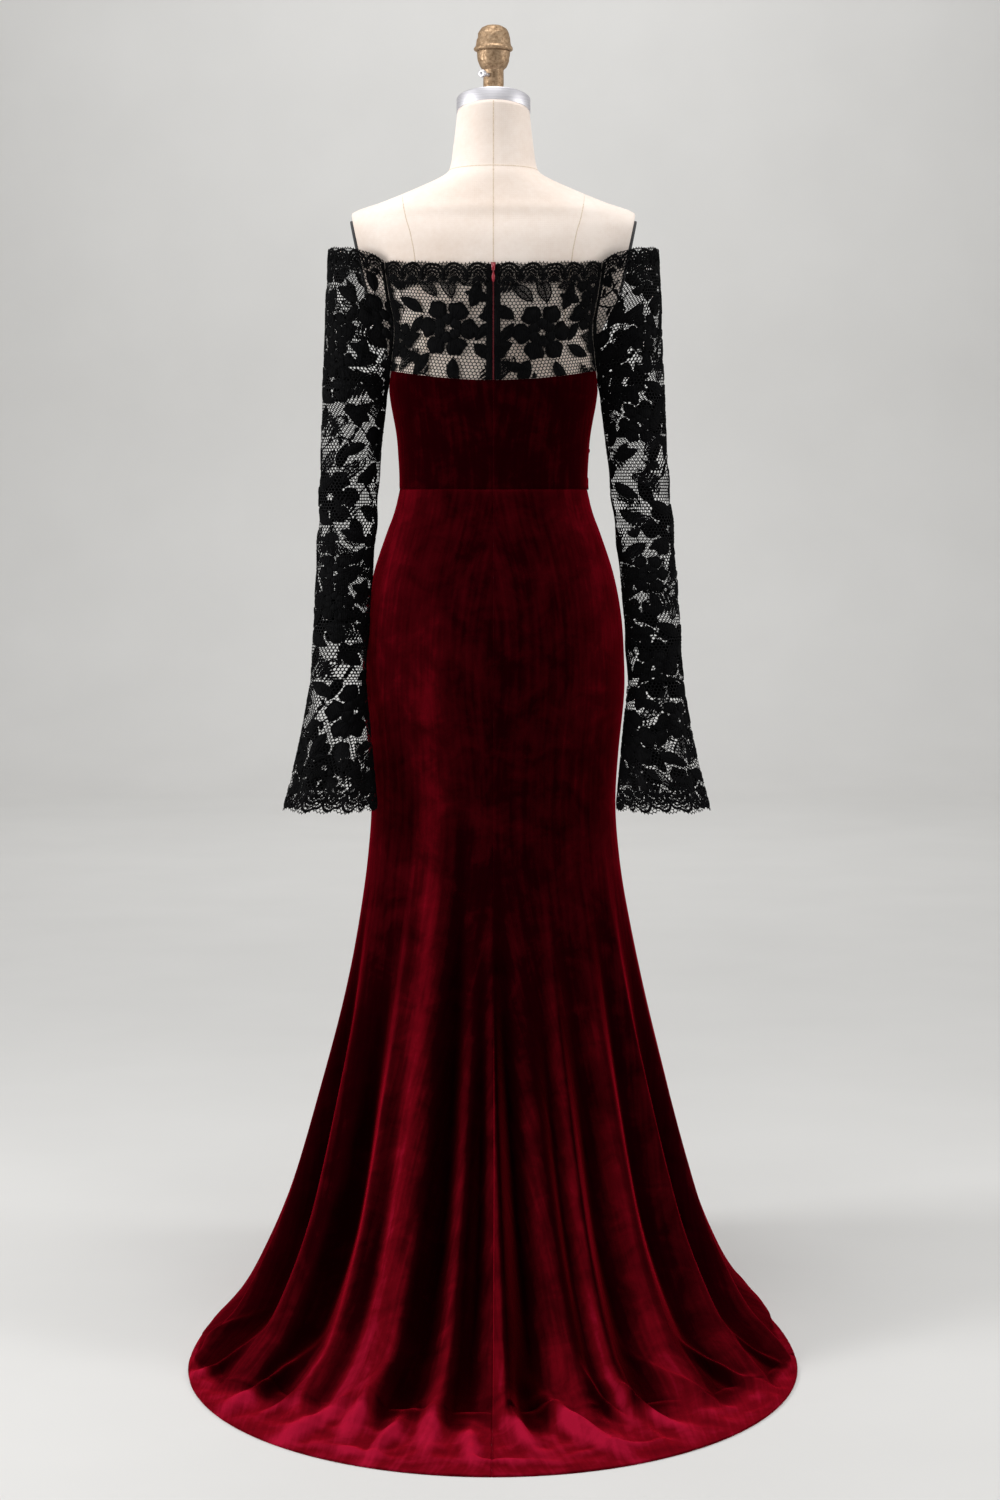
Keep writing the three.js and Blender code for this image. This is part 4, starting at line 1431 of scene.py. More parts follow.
@dataclass
class LaceWork:
    """Flower work drawn flat, in millimetres."""

    bm: Solid = field(default_factory=bmesh.new)
    cord: float = 1.5

    CORDED = 0
    GAUZE = 1

    def patch(self, outline: Path, frame_at: Matrix, material: int, lift: float = 0.0) -> None:
        """Draws a filled shape.

        Args:
            outline: Its outline, in its own frame.
            frame_at: Where that frame lies on the cloth.
            material: The number of its material.
            lift: How far it stands out of the net.
        """
        made = bmesh.ops.create_circle(
            self.bm, cap_ends=True, cap_tris=True, segments=len(outline), radius=1.0
        )
        middle = Vector((sum(p[0] for p in outline), sum(p[1] for p in outline), 0.0)) / len(outline)
        rim = [v for v in made["verts"] if v.co.length > 0.5]
        rim.sort(key=lambda v: math.atan2(v.co.y, v.co.x))
        places = sorted(outline, key=lambda p: math.atan2(p[1] - middle.y, p[0] - middle.x))
        for vertex, (x, y) in zip(rim, places, strict=True):
            vertex.co = frame_at @ Vector((x, y, lift))
        for vertex in made["verts"]:
            if vertex not in rim:
                vertex.co = frame_at @ Vector((middle.x, middle.y, lift))
        faces = {face for vertex in made["verts"] for face in vertex.link_faces}
        for face in faces:
            face.material_index = material

    def line(self, path: Path, frame_at: Matrix, width: float, lift: float = 0.45) -> None:
        """Draws a cord along a path, with a crown along its middle.

        Args:
            path: The points of its middle line, in its own frame.
            frame_at: Where that frame lies on the cloth.
            width: Its width.
            lift: The height of its crown.
        """
        made = bmesh.ops.create_grid(self.bm, x_segments=len(path) - 1, y_segments=2, size=0.5)
        points = [Vector((*p, 0.0)) for p in path]
        for vertex in made["verts"]:
            k = min(round((vertex.co.x + 0.5) * (len(path) - 1)), len(path) - 1)
            before = points[max(k - 1, 0)]
            after = points[min(k + 1, len(points) - 1)]
            along = (after - before).normalized()
            side = Vector((-along.y, along.x, 0.0))
            across = vertex.co.y * 2
            crown = Vector((0.0, 0.0, lift * (1 - abs(across))))
            vertex.co = frame_at @ (points[k] + side * (across * width / 2) + crown)

    @staticmethod
    def petal(length: float, width: float, lobes: int, base: float = 0.0) -> Path:
        """Gives the outline of a petal that points along +X, with lobes round its far edge."""
        outline = []
        count = 26
        for k in range(count):
            angle = 2 * math.pi * k / count
            reach = 0.5 + 0.5 * math.cos(angle)
            lobe = 0.09 * math.cos(lobes * angle) * max(0.0, math.cos(angle / 2)) ** 2
            neck = 0.22 + 0.78 * reach**0.6
            x = 0.5 + (0.5 + lobe) * math.cos(angle)
            y = width / 2 * math.sin(angle) * neck * (1 + lobe)
            outline.append((base + length * x, y))
        return outline

    @staticmethod
    def blade(length: float, width: float, bend: float) -> Path:
        """Gives the outline of a pointed leaf that leaves its stalk along +X and bends."""
        outline = []
        count = 16
        for k in range(count):
            angle = 2 * math.pi * k / count
            x = 0.5 - 0.5 * math.cos(angle)
            swell = math.sin(math.pi * x**0.85) ** 0.9
            y = width / 2 * swell * (1.0 if angle < math.pi else -1.0)
            outline.append((length * x, y + bend * length * x * x))
        return outline

    def rose(self, at: Matrix, size: float) -> None:
        """Draws an open flower: lobed petals with gaps between them, an inner ring, and a dotted eye."""
        petals = 6
        for ring, (reach, inner, width) in enumerate(((1.0, 0.3, 0.86), (0.5, 0.1, 0.5))):
            for k in range(petals):
                frame_at = at @ Matrix.Rotation(2 * math.pi * k / petals + ring * 0.52, 4, "Z")
                outline = self.petal(size * (reach - inner), size * width, 5, size * inner)
                self.patch(outline, frame_at, self.CORDED, 0.1 + 0.25 * ring)
                if ring == 0:
                    rim = [outline[j % len(outline)] for j in range(-8, 9)]
                    self.line(rim, frame_at, self.cord, 0.7)
                    for slant in (-0.2 * size, 0.0, 0.2 * size):
                        vein = [(size * (0.42 + 0.11 * j), slant * (0.35 + 0.3 * j)) for j in range(4)]
                        self.line(vein, frame_at, self.cord * 0.5, 0.6)
        self.line(arc(size * 0.17, 0.0, 2 * math.pi, 13), at, self.cord, 0.9)

    def leaf(self, at: Matrix, size: float, material: int) -> None:
        """Draws a leaf with a corded edge, a midrib and side veins."""
        outline = self.blade(size, size * 0.44, 0.18)
        self.patch(outline, at, material, 0.05)
        self.line([*outline, outline[0]], at, self.cord, 0.5)
        rib = [(size * x, 0.18 * size * x * x) for x in np.linspace(-0.1, 0.92, 7)]
        self.line(rib, at, self.cord * 0.8, 0.55)
        if material == self.CORDED:
            for share in (0.3, 0.45, 0.6, 0.75):
                root = (size * share, 0.18 * size * share * share)
                for side in (-1, 1):
                    spread = side * size * 0.15 * math.sin(math.pi * share)
                    tip = (root[0] + size * 0.1, root[1] + spread)
                    middle = ((root[0] + tip[0]) / 2 + 0.5, (root[1] + tip[1]) / 2)
                    self.line([root, middle, tip], at, self.cord * 0.5, 0.45)

    def fern(self, at: Matrix, size: float) -> None:
        """Draws a feathered leaf: a bent rib with combs of narrow blades on both sides."""
        rib = [(size * x, 0.28 * size * x * x) for x in np.linspace(0, 1, 9)]
        self.line(rib, at, self.cord, 0.5)
        for k in range(1, 9):
            share = k / 9
            reach = size * 0.34 * math.sin(math.pi * (0.15 + 0.8 * share))
            for side in (-1, 1):
                spot = Matrix.Translation((size * share, 0.28 * size * share * share, 0.0))
                turn = Matrix.Rotation(side * 1.0 + 0.4 * share, 4, "Z")
                blade = self.blade(reach, reach * 0.3, side * 0.1)
                self.patch(blade, at @ spot @ turn, self.CORDED, 0.1)

    def bud(self, at: Matrix, size: float) -> None:
        """Draws a bud: three narrow petals over a round cup on a short stalk."""
        outline = self.petal(size * 0.7, size * 0.42, 2, size * 0.25)
        for slant in (-0.45, 0.0, 0.45):
            turn = Matrix.Rotation(slant, 4, "Z")
            self.patch(outline, at @ turn, self.CORDED, 0.15)
            self.line([*outline[4:], outline[0]][:12], at @ turn, self.cord * 0.8, 0.5)
        stalk = [(-size * 0.5, -size * 0.1), (-size * 0.15, 0.0), (size * 0.25, 0.0)]
        self.line(stalk, at, self.cord, 0.4)

    def scroll(self, at: Matrix, size: float) -> None:
        """Draws a curled tendril with beads along its outer side."""
        path = []
        for k in range(20):
            angle = 0.28 * k
            radius = size * (1 - k / 24) * 0.5
            path.append((size * 0.5 - radius * math.cos(angle), radius * math.sin(angle)))
        self.line(path, at, self.cord * 1.3, 0.5)
        for k in range(1, 14, 3):
            x, y = path[k]
            self.patch(arc(1.6, 0.0, 5.5, 7, (x - 1.2, y + 1.6)), at, self.CORDED, 0.3)

    def fan(self, at: Matrix, size: float) -> None:
        """Draws a sweep of parallel lines that bend together, as on the back of a turned petal."""
        for k in range(5):
            reach = size * (1 - 0.09 * k)
            path = []
            for share in np.linspace(0, 1, 9):
                angle = 1.5 * share
                y = size * 0.13 * k * (1 - 0.5 * share) + reach * 0.5 * (1 - math.cos(angle))
                path.append((reach * math.sin(angle), y))
            self.line(path, at, self.cord * (1.3 if k in (0, 4) else 0.8), 0.5)

    def stem(self, at: Matrix, size: float) -> None:
        """Draws a long stem in an S, with small leaves off it."""
        path = [(size * x, size * 0.16 * math.sin(2 * math.pi * x)) for x in np.linspace(0, 1, 17)]
        self.line(path, at, self.cord * 1.2, 0.5)
        for k in range(2, 16, 3):
            x, y = path[k]
            side = 1 if k % 2 else -1
            turn = Matrix.Translation((x, y, 0.0)) @ Matrix.Rotation(side * 0.9, 4, "Z")
            self.patch(self.blade(size * 0.16, size * 0.07, side * 0.2), at @ turn, self.CORDED, 0.1)

    def draw(self, sprig: Sprig) -> None:
        """Draws one motif of the repeat."""
        turn = Matrix.Rotation(math.radians(sprig.heading), 4, "Z")
        at = Matrix.Translation((sprig.x, sprig.y, 0.0)) @ turn
        if sprig.kind is Motif.LEAF:
            self.leaf(at, sprig.size, self.CORDED)
        elif sprig.kind is Motif.GAUZE_LEAF:
            self.leaf(at, sprig.size, self.GAUZE)
        else:
            drawn_by = {
                Motif.ROSE: self.rose,
                Motif.BUD: self.bud,
                Motif.FERN: self.fern,
                Motif.SCROLL: self.scroll,
                Motif.FAN: self.fan,
                Motif.STEM: self.stem,
            }
            drawn_by[sprig.kind](at, sprig.size)

    def scallop(self, pitch: float) -> None:
        """Draws one scallop of the border, hanging from the origin: arcs with open rows between them.

        Args:
            pitch: The scallop's width.
        """
        drop = 2.2 + pitch * 0.5
        flat = Matrix.Identity(4)
        for radius, width in ((0.5, 3.4), (0.335, 2.2), (0.19, 2.2)):
            row = arc(pitch * radius, -0.1, math.pi + 0.1, 15, (0.0, -drop))
            self.line(row, flat, width, 0.7)
        for k in range(6):
            a = math.pi * (k + 0.5) / 6
            spoke = [(pitch * r * math.cos(a), -drop + pitch * r * math.sin(a)) for r in (0.3, 0.4, 0.5)]
            self.line(spoke, flat, 1.0, 0.4)
        self.line(arc(2.4, 0.0, 2 * math.pi, 10, (0.0, -drop - 1.0)), flat, 1.2, 0.7)
        for angle, reach in ((-2.35, 0.42), (-1.57, 0.36), (-0.79, 0.42)):
            turn = Matrix.Translation((0.0, -drop - 1.5, 0.0)) @ Matrix.Rotation(angle, 4, "Z")
            self.patch(self.blade(pitch * reach, pitch * 0.19, 0.0), turn, self.CORDED, 0.2)
        between = Matrix.Translation((pitch / 2, -drop + 2.0, 0.0))
        self.line(arc(pitch * 0.15, 0.0, 6.28, 12, (0.0, -pitch * 0.17)), between, 1.6, 0.6)
        downwards = between @ Matrix.Rotation(-1.57, 4, "Z")
        self.patch(self.blade(pitch * 0.3, pitch * 0.22, 0.0), downwards, self.CORDED, 0.2)


@dataclass
class LaceDrawing:
    """Stamped flower work, in millimetres on the flat cloth, that is cut to a panel and laid on it."""

    bm: Solid = field(default_factory=bmesh.new)
    strip: float = 7.0

    def lay_on(self, laid: FlatMap, clear: float, above: float) -> Solid:
        """Cuts the drawing to its panel and lays it on the surface.

        Args:
            laid: The panel's flat cloth.
            clear: How far inside the panel's edges the drawing stops.
            above: How far the drawing lies above the net.

        Returns:
            The laid mesh, in metres.
        """
        bm = self.bm
        half = laid.width / 2 - clear
        planes = [((-half, 0, 0), (-1, 0, 0)), ((half, 0, 0), (1, 0, 0))]
        planes += [((0, clear, 0), (0, -1, 0)), ((0, laid.height - clear, 0), (0, 1, 0))]
        for place, normal in planes:
            self.cut(place, normal, clear_outer=True)
        for k in range(1, int(2 * half / self.strip)):
            self.cut((-half + k * self.strip, 0, 0), (1, 0, 0))
        bm.verts.index_update()
        places = np.array([vertex.co for vertex in bm.verts])
        u, v = laid.to_share(places[:, 0], places[:, 1])
        out = [f for f in bm.faces if all(not 0.001 < u[w.index] < 0.999 for w in f.verts)]
        u = np.clip(u, 0.001, 0.999)
        move_to(bm, laid.surface.lifted(u, v, above + places[:, 2]))
        map_cloth(bm, places[:, :2])
        bmesh.ops.delete(bm, geom=out, context="FACES")
        return bm

    def cut(self, place: tuple, normal: tuple, clear_outer: bool = False) -> None:
        """Cuts the whole drawing along a line."""
        bm = self.bm
        geometry = [*bm.verts, *bm.edges, *bm.faces]
        bmesh.ops.bisect_plane(
            bm, geom=geometry, dist=1e-4, plane_co=place, plane_no=normal, clear_outer=clear_outer
        )


REPEAT_WIDTH = 148.0
REPEAT_HEIGHT = 164.0
REPEAT = (
    Sprig(Motif.ROSE, 0, 0, 37),
    Sprig(Motif.ROSE, 74, 60, 25),
    Sprig(Motif.LEAF, 30, 30, 36, 62),
    Sprig(Motif.LEAF, 40, 16, 32, 8),
    Sprig(Motif.LEAF, 36, -20, 36, -38),
    Sprig(Motif.LEAF, 12, -40, 34, -84),
    Sprig(Motif.LEAF, -22, -36, 36, 232),
    Sprig(Motif.LEAF, -40, -12, 32, 196),
    Sprig(Motif.LEAF, -36, 20, 36, 142),
    Sprig(Motif.LEAF, 94, 74, 28, 40),
    Sprig(Motif.LEAF, 96, 44, 30, -30),
    Sprig(Motif.LEAF, 70, 86, 30, 100),
    Sprig(Motif.LEAF, 58, 34, 26, 230),
    Sprig(Motif.GAUZE_LEAF, 6, 40, 40, 100),
    Sprig(Motif.GAUZE_LEAF, -14, 42, 34, 128),
    Sprig(Motif.GAUZE_LEAF, 62, -10, 36, -14),
    Sprig(Motif.GAUZE_LEAF, -48, -36, 34, 222),
    Sprig(Motif.GAUZE_LEAF, 44, 62, 24, 178),
    Sprig(Motif.FERN, -28, 62, 46, 168),
    Sprig(Motif.FERN, 52, -46, 44, 290),
    Sprig(Motif.BUD, -66, 44, 20, 100),
    Sprig(Motif.BUD, 30, 74, 19, 120),
    Sprig(Motif.BUD, 84, 14, 18, -70),
    Sprig(Motif.SCROLL, -72, 6, 27, 80),
    Sprig(Motif.SCROLL, 20, -62, 24, 250),
    Sprig(Motif.FAN, -64, -58, 34, 24),
    Sprig(Motif.FAN, 36, 92, 30, 200),
    Sprig(Motif.STEM, -46, -78, 80, 8),
    Sprig(Motif.STEM, -20, 78, 74, 12),
)


@dataclass
class LacePieces:
    """The lace yoke, sleeves, cuffs and border, each a net sheet with its flower work on it."""

    finishes: Finishes
    above: float = 0.15
    margin: float = 0.3
    scallop: float = 27.0
    border_height: float = 25.0
    border_lift: float = 0.9
    cuff_border: float = 24.0
    drawn: dict[str, bpy.types.Mesh] = field(default_factory=dict)

    def sheet(
        self,
        name: str,
        surface: Surface,
        cells: Cells,
        drawing: LaceDrawing,
        allowance: Pair = (0.0, 0.0),
    ) -> None:
        """Builds one lace panel.

        Args:
            name: The name of the solid that it stands for.
            surface: The surface that it follows.
            cells: Its faces across and up.
            drawing: Its flower work, drawn flat.
            allowance: The widths of its left and right doubled seam allowances, in millimetres.
        """
        bm, u, v = grid(*cells)
        laid = FlatMap(surface)
        move_to(bm, surface.place(u, v))
        map_cloth(bm, laid.to_flat(u, v))
        net = make_piece(bm, name + "_net", [self.finishes.net], "lace", "root", name)
        thicken(net, NET_THICK)
        self.allowances(laid, drawing, allowance)
        laid_work = drawing.lay_on(laid, self.margin, self.above)
        threads = [self.finishes.cordonnet, self.finishes.gauze]
        work = make_piece(laid_work, name + "_flowers", threads, "lace")
        thicken(work, FLOWER_THICK, 1.0)

    def allowances(self, laid: FlatMap, drawing: LaceDrawing, allowance: Pair) -> None:
        """Draws the doubled lace of the seam allowances, which follow the panel's slanted edges.

        Args:
            laid: The panel's flat cloth.
            drawing: The drawing to add to.
            allowance: Their widths along the left and right edges, in millimetres.
        """
        for sign, width in zip((-1, 1), allowance, strict=True):
            if width:
                shares = np.linspace(0.004, 0.996, 40)
                half = np.interp(shares, laid.v, laid.widths) / 2
                up = np.interp(shares, laid.v, laid.heights)
                path = [(sign * (h - width / 2), t) for h, t in zip(half, up, strict=True)]
                work = LaceWork()
                work.line(path, Matrix.Identity(4), width, 0.25)
                stamp(drawing.bm, drawn_mesh(work.bm, "allowance"), Matrix.Identity(4))

    def flowered(self, laid: FlatMap, shift: Pair, low: float = 0.0, high: float = 0.0) -> LaceDrawing:
        """Draws the repeat over a panel, half-dropped and turned in alternate columns.

        Args:
            laid: The panel's flat cloth.
            shift: Where the repeat starts.
            low: The height from the bottom that is left clear.
            high: The height from the top that is left clear.

        Returns:
            The drawing.
        """
        if "repeat" not in self.drawn:
            work = LaceWork()
            for sprig in REPEAT:
                work.draw(sprig)
            self.drawn["repeat"] = drawn_mesh(work.bm, "repeat")
        drawing = LaceDrawing()
        columns = math.ceil((laid.width / 2 + REPEAT_WIDTH) / REPEAT_WIDTH)
        rows = math.ceil((laid.height + REPEAT_HEIGHT) / REPEAT_HEIGHT)
        for i in range(-columns, columns + 1):
            for j in range(-1, rows + 1):
                x = shift[0] + i * REPEAT_WIDTH
                y = shift[1] + (j + 0.5 * (i % 2)) * REPEAT_HEIGHT
                beside = abs(x) < laid.width / 2 + REPEAT_WIDTH
                if beside and -REPEAT_HEIGHT < y < laid.height + REPEAT_HEIGHT:
                    turn = Matrix.Rotation(math.pi * ((i + j) % 2), 4, "Z")
                    stamp(drawing.bm, self.drawn["repeat"], Matrix.Translation((x, y, 0.0)) @ turn)
        drawing.cut((0, low, 0), (0, -1, 0), clear_outer=True)
        drawing.cut((0, laid.height - high, 0), (0, 1, 0), clear_outer=True)
        return drawing

    def border_work(
        self, laid: FlatMap, drawing: LaceDrawing, base: float, upwards: bool
    ) -> LaceDrawing:
        """Draws the scalloped border: a row of scallops under a double corded edge.

        Args:
            laid: The panel's flat cloth.
            drawing: The drawing to add to.
            base: The height of the border's finished edge.
            upwards: Whether that edge is at the top.

        Returns:
            The same drawing.
        """
        count = max(3, round(laid.width / self.scallop))
        pitch = laid.width / count
        work = LaceWork()
        work.scallop(pitch)
        unit = drawn_mesh(work.bm, "scallop")
        flip = Matrix.Diagonal((1.0, 1.0 if upwards else -1.0, 1.0, 1.0))
        for k in range(count):
            x = -laid.width / 2 + (k + 0.5) * pitch
            stamp(drawing.bm, unit, Matrix.Translation((x, base, 0.0)) @ flip)
        return drawing

    def panel(
        self,
        name: str,
        surface: Surface,
        cells: Cells,
        cut: Pair,
        shift: Pair,
        allowance: Pair,
        high: float,
    ) -> None:
        """Builds one flowered panel, as sheet does.

        shift is where its repeat starts, and high the height that it leaves clear at the top.
        """
        drawing = self.flowered(FlatMap(surface), shift, high=high)
        self.sheet(name, surface, cells, drawing, allowance)

    def border(self, name: str, surface: Surface, columns: int) -> None:
        """Builds one strip of the scalloped border along the neckline."""
        laid = FlatMap(surface)
        drawing = self.border_work(laid, LaceDrawing(), laid.height - 0.5, True)
        self.sheet(name, surface, (columns, 12), drawing)

    def build(self) -> None:
        """Builds every lace piece."""
        back = YokePanel(BACK_NECK, BACK)
        high = self.border_height
        right = Trimmed(back, left=0.5 / 105, top=0.02)
        left = Mirror(right)
        self.panel("yoke_back_right", right, (44, 40), (0.16, 0.18), (-12.0, 60.0), (8.0, 6.0), high)
        self.panel("yoke_back_left", left, (44, 40), (0.16, 0.18), (16.0, 66.0), (6.0, 8.0), high)
        front = Trimmed(FrontYoke(), top=0.02)
        self.panel("yoke_front", front, (100, 40), (0.38, 0.18), (6.0, 78.0), (6.0, 6.0), high)
        start = 1 - 1 / 5
        lift = self.border_lift
        trim = Trimmed(Border(back, start, lift, 4), left=3.2 / 105, right=0.004)
        self.border("trim_back_right", trim, 90)
        self.border("trim_back_left", Mirror(trim), 90)
        band = Trimmed(Border(FrontYoke(), start, lift, 8), left=0.003, right=0.003)
        self.border("trim_front", band, 190)
        for side, hand, shift in (("right", 1, (18.0, 40.0)), ("left", -1, (-30.0, 84.0))):
            sleeve: Surface = Trimmed(SleevePanel(hand), top=0.003)
            cuff: Surface = CuffPanel(hand)
            band = Border(SleevePanel(hand), 1 - 0.34 / 7, lift, 7)
            strip: Surface = Trimmed(band, left=0.004, right=0.004)
            if hand < 0:
                sleeve, cuff, strip = Mirror(sleeve), Mirror(cuff), Mirror(strip)
            self.panel("sleeve_" + side, sleeve, (72, 110), (0.40, 0.62), shift, (5.0, 5.0), high)
            laid = FlatMap(cuff)
            flowers = self.flowered(laid, (shift[1], shift[0]), low=self.cuff_border)
            drawing = self.border_work(laid, flowers, 1.0, False)
            self.sheet("cuff_" + side, cuff, (160, 40), drawing)
            self.border("trim_sleeve_" + side, strip, 120)


# The zip


@dataclass
class Zip:
    """The invisible zip: two nylon coils with their tapes, the slider with its bail, and the pull."""

    finishes: Finishes
    pitch: float = 1.5
    coil_half: float = 0.55
    coil_gap: float = 0.17
    coil_tilt: float = 0.35
    depth_in_lace: float = 1.1
    depth_in_velvet: float = 2.4
    tape_start: float = 0.02
    tape_width: float = 3.1
    tape_behind: float = 0.4
    slider_z: float = 1373.0
    width: float = 5.2
    height: float = 9.0
    depth: float = 3.2
    narrow: float = 0.78
    bail_wire: float = 0.6
    bail_reach: float = 3.0
    tab_thick: float = 1.1
    tab_top: float = 5.2
    tab_length: float = 15.0
    eye_radius: float = 1.65
    eye_wire: float = 0.55
    eye_below: float = 2.6
    eye_stretch: float = 1.16

    def face(self, z: float) -> float:
        """Gives where the middle of the back lies along Y at a height."""
        return -float(BODY.at("behind", np.float64(z)))

    def depth_at(self, z: float) -> float:
        """Gives how deep the coils lie at a height: behind the velvet, or between the lace halves."""
        return self.depth_in_lace if z > VELVET_TOP.centre else self.depth_in_velvet

    def coils(self) -> None:
        """Builds the two coils, a loop for each tooth, on a narrow tape."""
        for name, side in (("zip_coil_left", -1), ("zip_coil_right", 1)):
            loop = bmesh.new()
            made = bmesh.ops.create_uvsphere(loop, u_segments=6, v_segments=4, radius=1.0)
            shape = Matrix.Diagonal((self.coil_half, 0.62, 0.55, 1.0))
            tilt = Matrix.Rotation(side * self.coil_tilt, 4, "Y")
            bmesh.ops.transform(loop, matrix=tilt @ shape, verts=made["verts"])
            drawn = drawn_mesh(loop, "coil loop")
            bm = bmesh.new()
            for k in range(int((BACK_NECK.centre - 1 - ZIP_END_Z) / self.pitch)):
                z = ZIP_END_Z + (k + 0.5) * self.pitch
                y = self.face(z) + self.depth_at(z)
                stamp(bm, drawn, Matrix.Translation((side * (self.coil_gap + self.coil_half), y, z)))
            tape = bmesh.ops.create_grid(bm, x_segments=1, y_segments=100, size=0.5)
            for vertex in tape["verts"]:
                z = lerp(ZIP_END_Z, BACK_NECK.centre - 1, vertex.co.y + 0.5)
                y = self.face(z) + self.depth_at(z) + self.tape_behind
                x = self.tape_start + (vertex.co.x + 0.5) * self.tape_width
                vertex.co = Vector((side * x, y, z))
            bmesh.ops.scale(bm, vec=(MM, MM, MM), verts=bm.verts)
            make_piece(bm, name + "_loops", [self.finishes.nylon], "zip", "root", name)

    def slider(self) -> None:
        """Builds the slider: a wedge with rounded edges and a bail over its face."""
        bm = bmesh.new()
        reach = self.height / 2
        seat = min(self.face(self.slider_z - reach), self.face(self.slider_z + reach)) - 0.3
        outside = seat - self.depth
        bmesh.ops.create_cube(bm, size=1.0)
        for vertex in bm.verts:
            vertex.co.x *= self.width * (self.narrow if vertex.co.z < 0 else 1.0)
            vertex.co.y = seat - self.depth / 2 + vertex.co.y * self.depth
            vertex.co.z = self.slider_z + vertex.co.z * self.height
        bmesh.ops.bevel(
            bm, geom=bm.edges[:], offset=0.7, segments=3, profile=0.5, affect="EDGES", material=-1
        )
        ring = bmesh.ops.create_circle(bm, segments=10, radius=self.bail_wire)
        place = Matrix.Translation((0.0, outside, self.slider_z - self.bail_reach))
        bmesh.ops.transform(bm, matrix=place, verts=ring["verts"])
        edges = list({edge for vertex in ring["verts"] for edge in vertex.link_edges})
        bmesh.ops.spin(
            bm,
            geom=[*ring["verts"], *edges],
            cent=(0.0, outside, self.slider_z),
            axis=(1.0, 0.0, 0.0),
            angle=-math.pi,
            steps=14,
            use_merge=False,
        )
        for vertex in bm.verts:
            if vertex.co.y < outside - 0.05 and abs(vertex.co.x) < 0.7:
                vertex.co.y = outside - (outside - vertex.co.y) * 0.93
        bmesh.ops.recalc_face_normals(bm, faces=bm.faces[:])
        bmesh.ops.scale(bm, vec=(MM, MM, MM), verts=bm.verts)
        make_piece(bm, "zip_slider_body", [self.finishes.enamel], "zip", "root", "zip_slider")

    def pull(self) -> None:
        """Builds the pull tab: an eye round the bail, a neck, and a long drop, on its own body."""
        low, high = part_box("zip_pull")
        middle = (Vector(low) + Vector(high)) / 2 / MM
        top = Vector(high).z / MM
        bm = bmesh.new()
        made = bmesh.ops.create_circle(bm, cap_ends=True, segments=28, radius=1.0)
        for vertex in made["verts"]:
            down = 0.5 - 0.5 * vertex.co.y
            half = 1.55 + 0.75 * math.sin(math.pi * down) - 0.5 * (1 - down)
            vertex.co = Vector((vertex.co.x * half, 0.0, top - self.tab_top - down * self.tab_length))
        extruded = bmesh.ops.extrude_face_region(bm, geom=bm.faces[:])
        moved = [g for g in extruded["geom"] if isinstance(g, bmesh.types.BMVert)]
        bmesh.ops.translate(bm, vec=(0.0, self.tab_thick, 0.0), verts=moved)
        bmesh.ops.translate(bm, vec=(0.0, middle.y - self.tab_thick / 2, 0.0), verts=bm.verts)
        rim = [edge for edge in bm.edges if edge.calc_face_angle(0.0) > 1.0]
        bmesh.ops.bevel(bm, geom=rim, offset=0.3, segments=2, profile=0.5, affect="EDGES", material=-1)
        eye_z = top - self.eye_below
        bar = bmesh.ops.create_circle(bm, segments=8, radius=self.eye_wire)
        turn = Matrix.Translation((self.eye_radius, middle.y, eye_z))
        bmesh.ops.transform(bm, matrix=turn @ Matrix.Rotation(math.pi, 4, "X"), verts=bar["verts"])
        edges = list({edge for vertex in bar["verts"] for edge in vertex.link_edges})
        bmesh.ops.spin(
            bm,
            geom=[*bar["verts"], *edges],
            cent=(0.0, middle.y, eye_z),
            axis=(0.0, 1.0, 0.0),
            angle=2 * math.pi,
            steps=24,
            use_merge=True,
        )
        for vertex in bm.verts:
            of_eye = vertex.co.z > top - self.tab_top - 0.1
            if of_eye and abs(vertex.co.y - middle.y) < self.eye_wire + 0.05:
                vertex.co.z = eye_z + (vertex.co.z - eye_z) * self.eye_stretch
        bmesh.ops.remove_doubles(bm, verts=bm.verts[:], dist=1e-4)
        bmesh.ops.recalc_face_normals(bm, faces=bm.faces[:])
        bmesh.ops.scale(bm, vec=(MM, MM, MM), verts=bm.verts)
        make_piece(bm, "zip_pull_tab", [self.finishes.enamel], "zip", "pull", "zip_pull")

    def build(self) -> None:
        """Builds the zip."""
        self.coils()
        self.slider()
        self.pull()


# The dress form


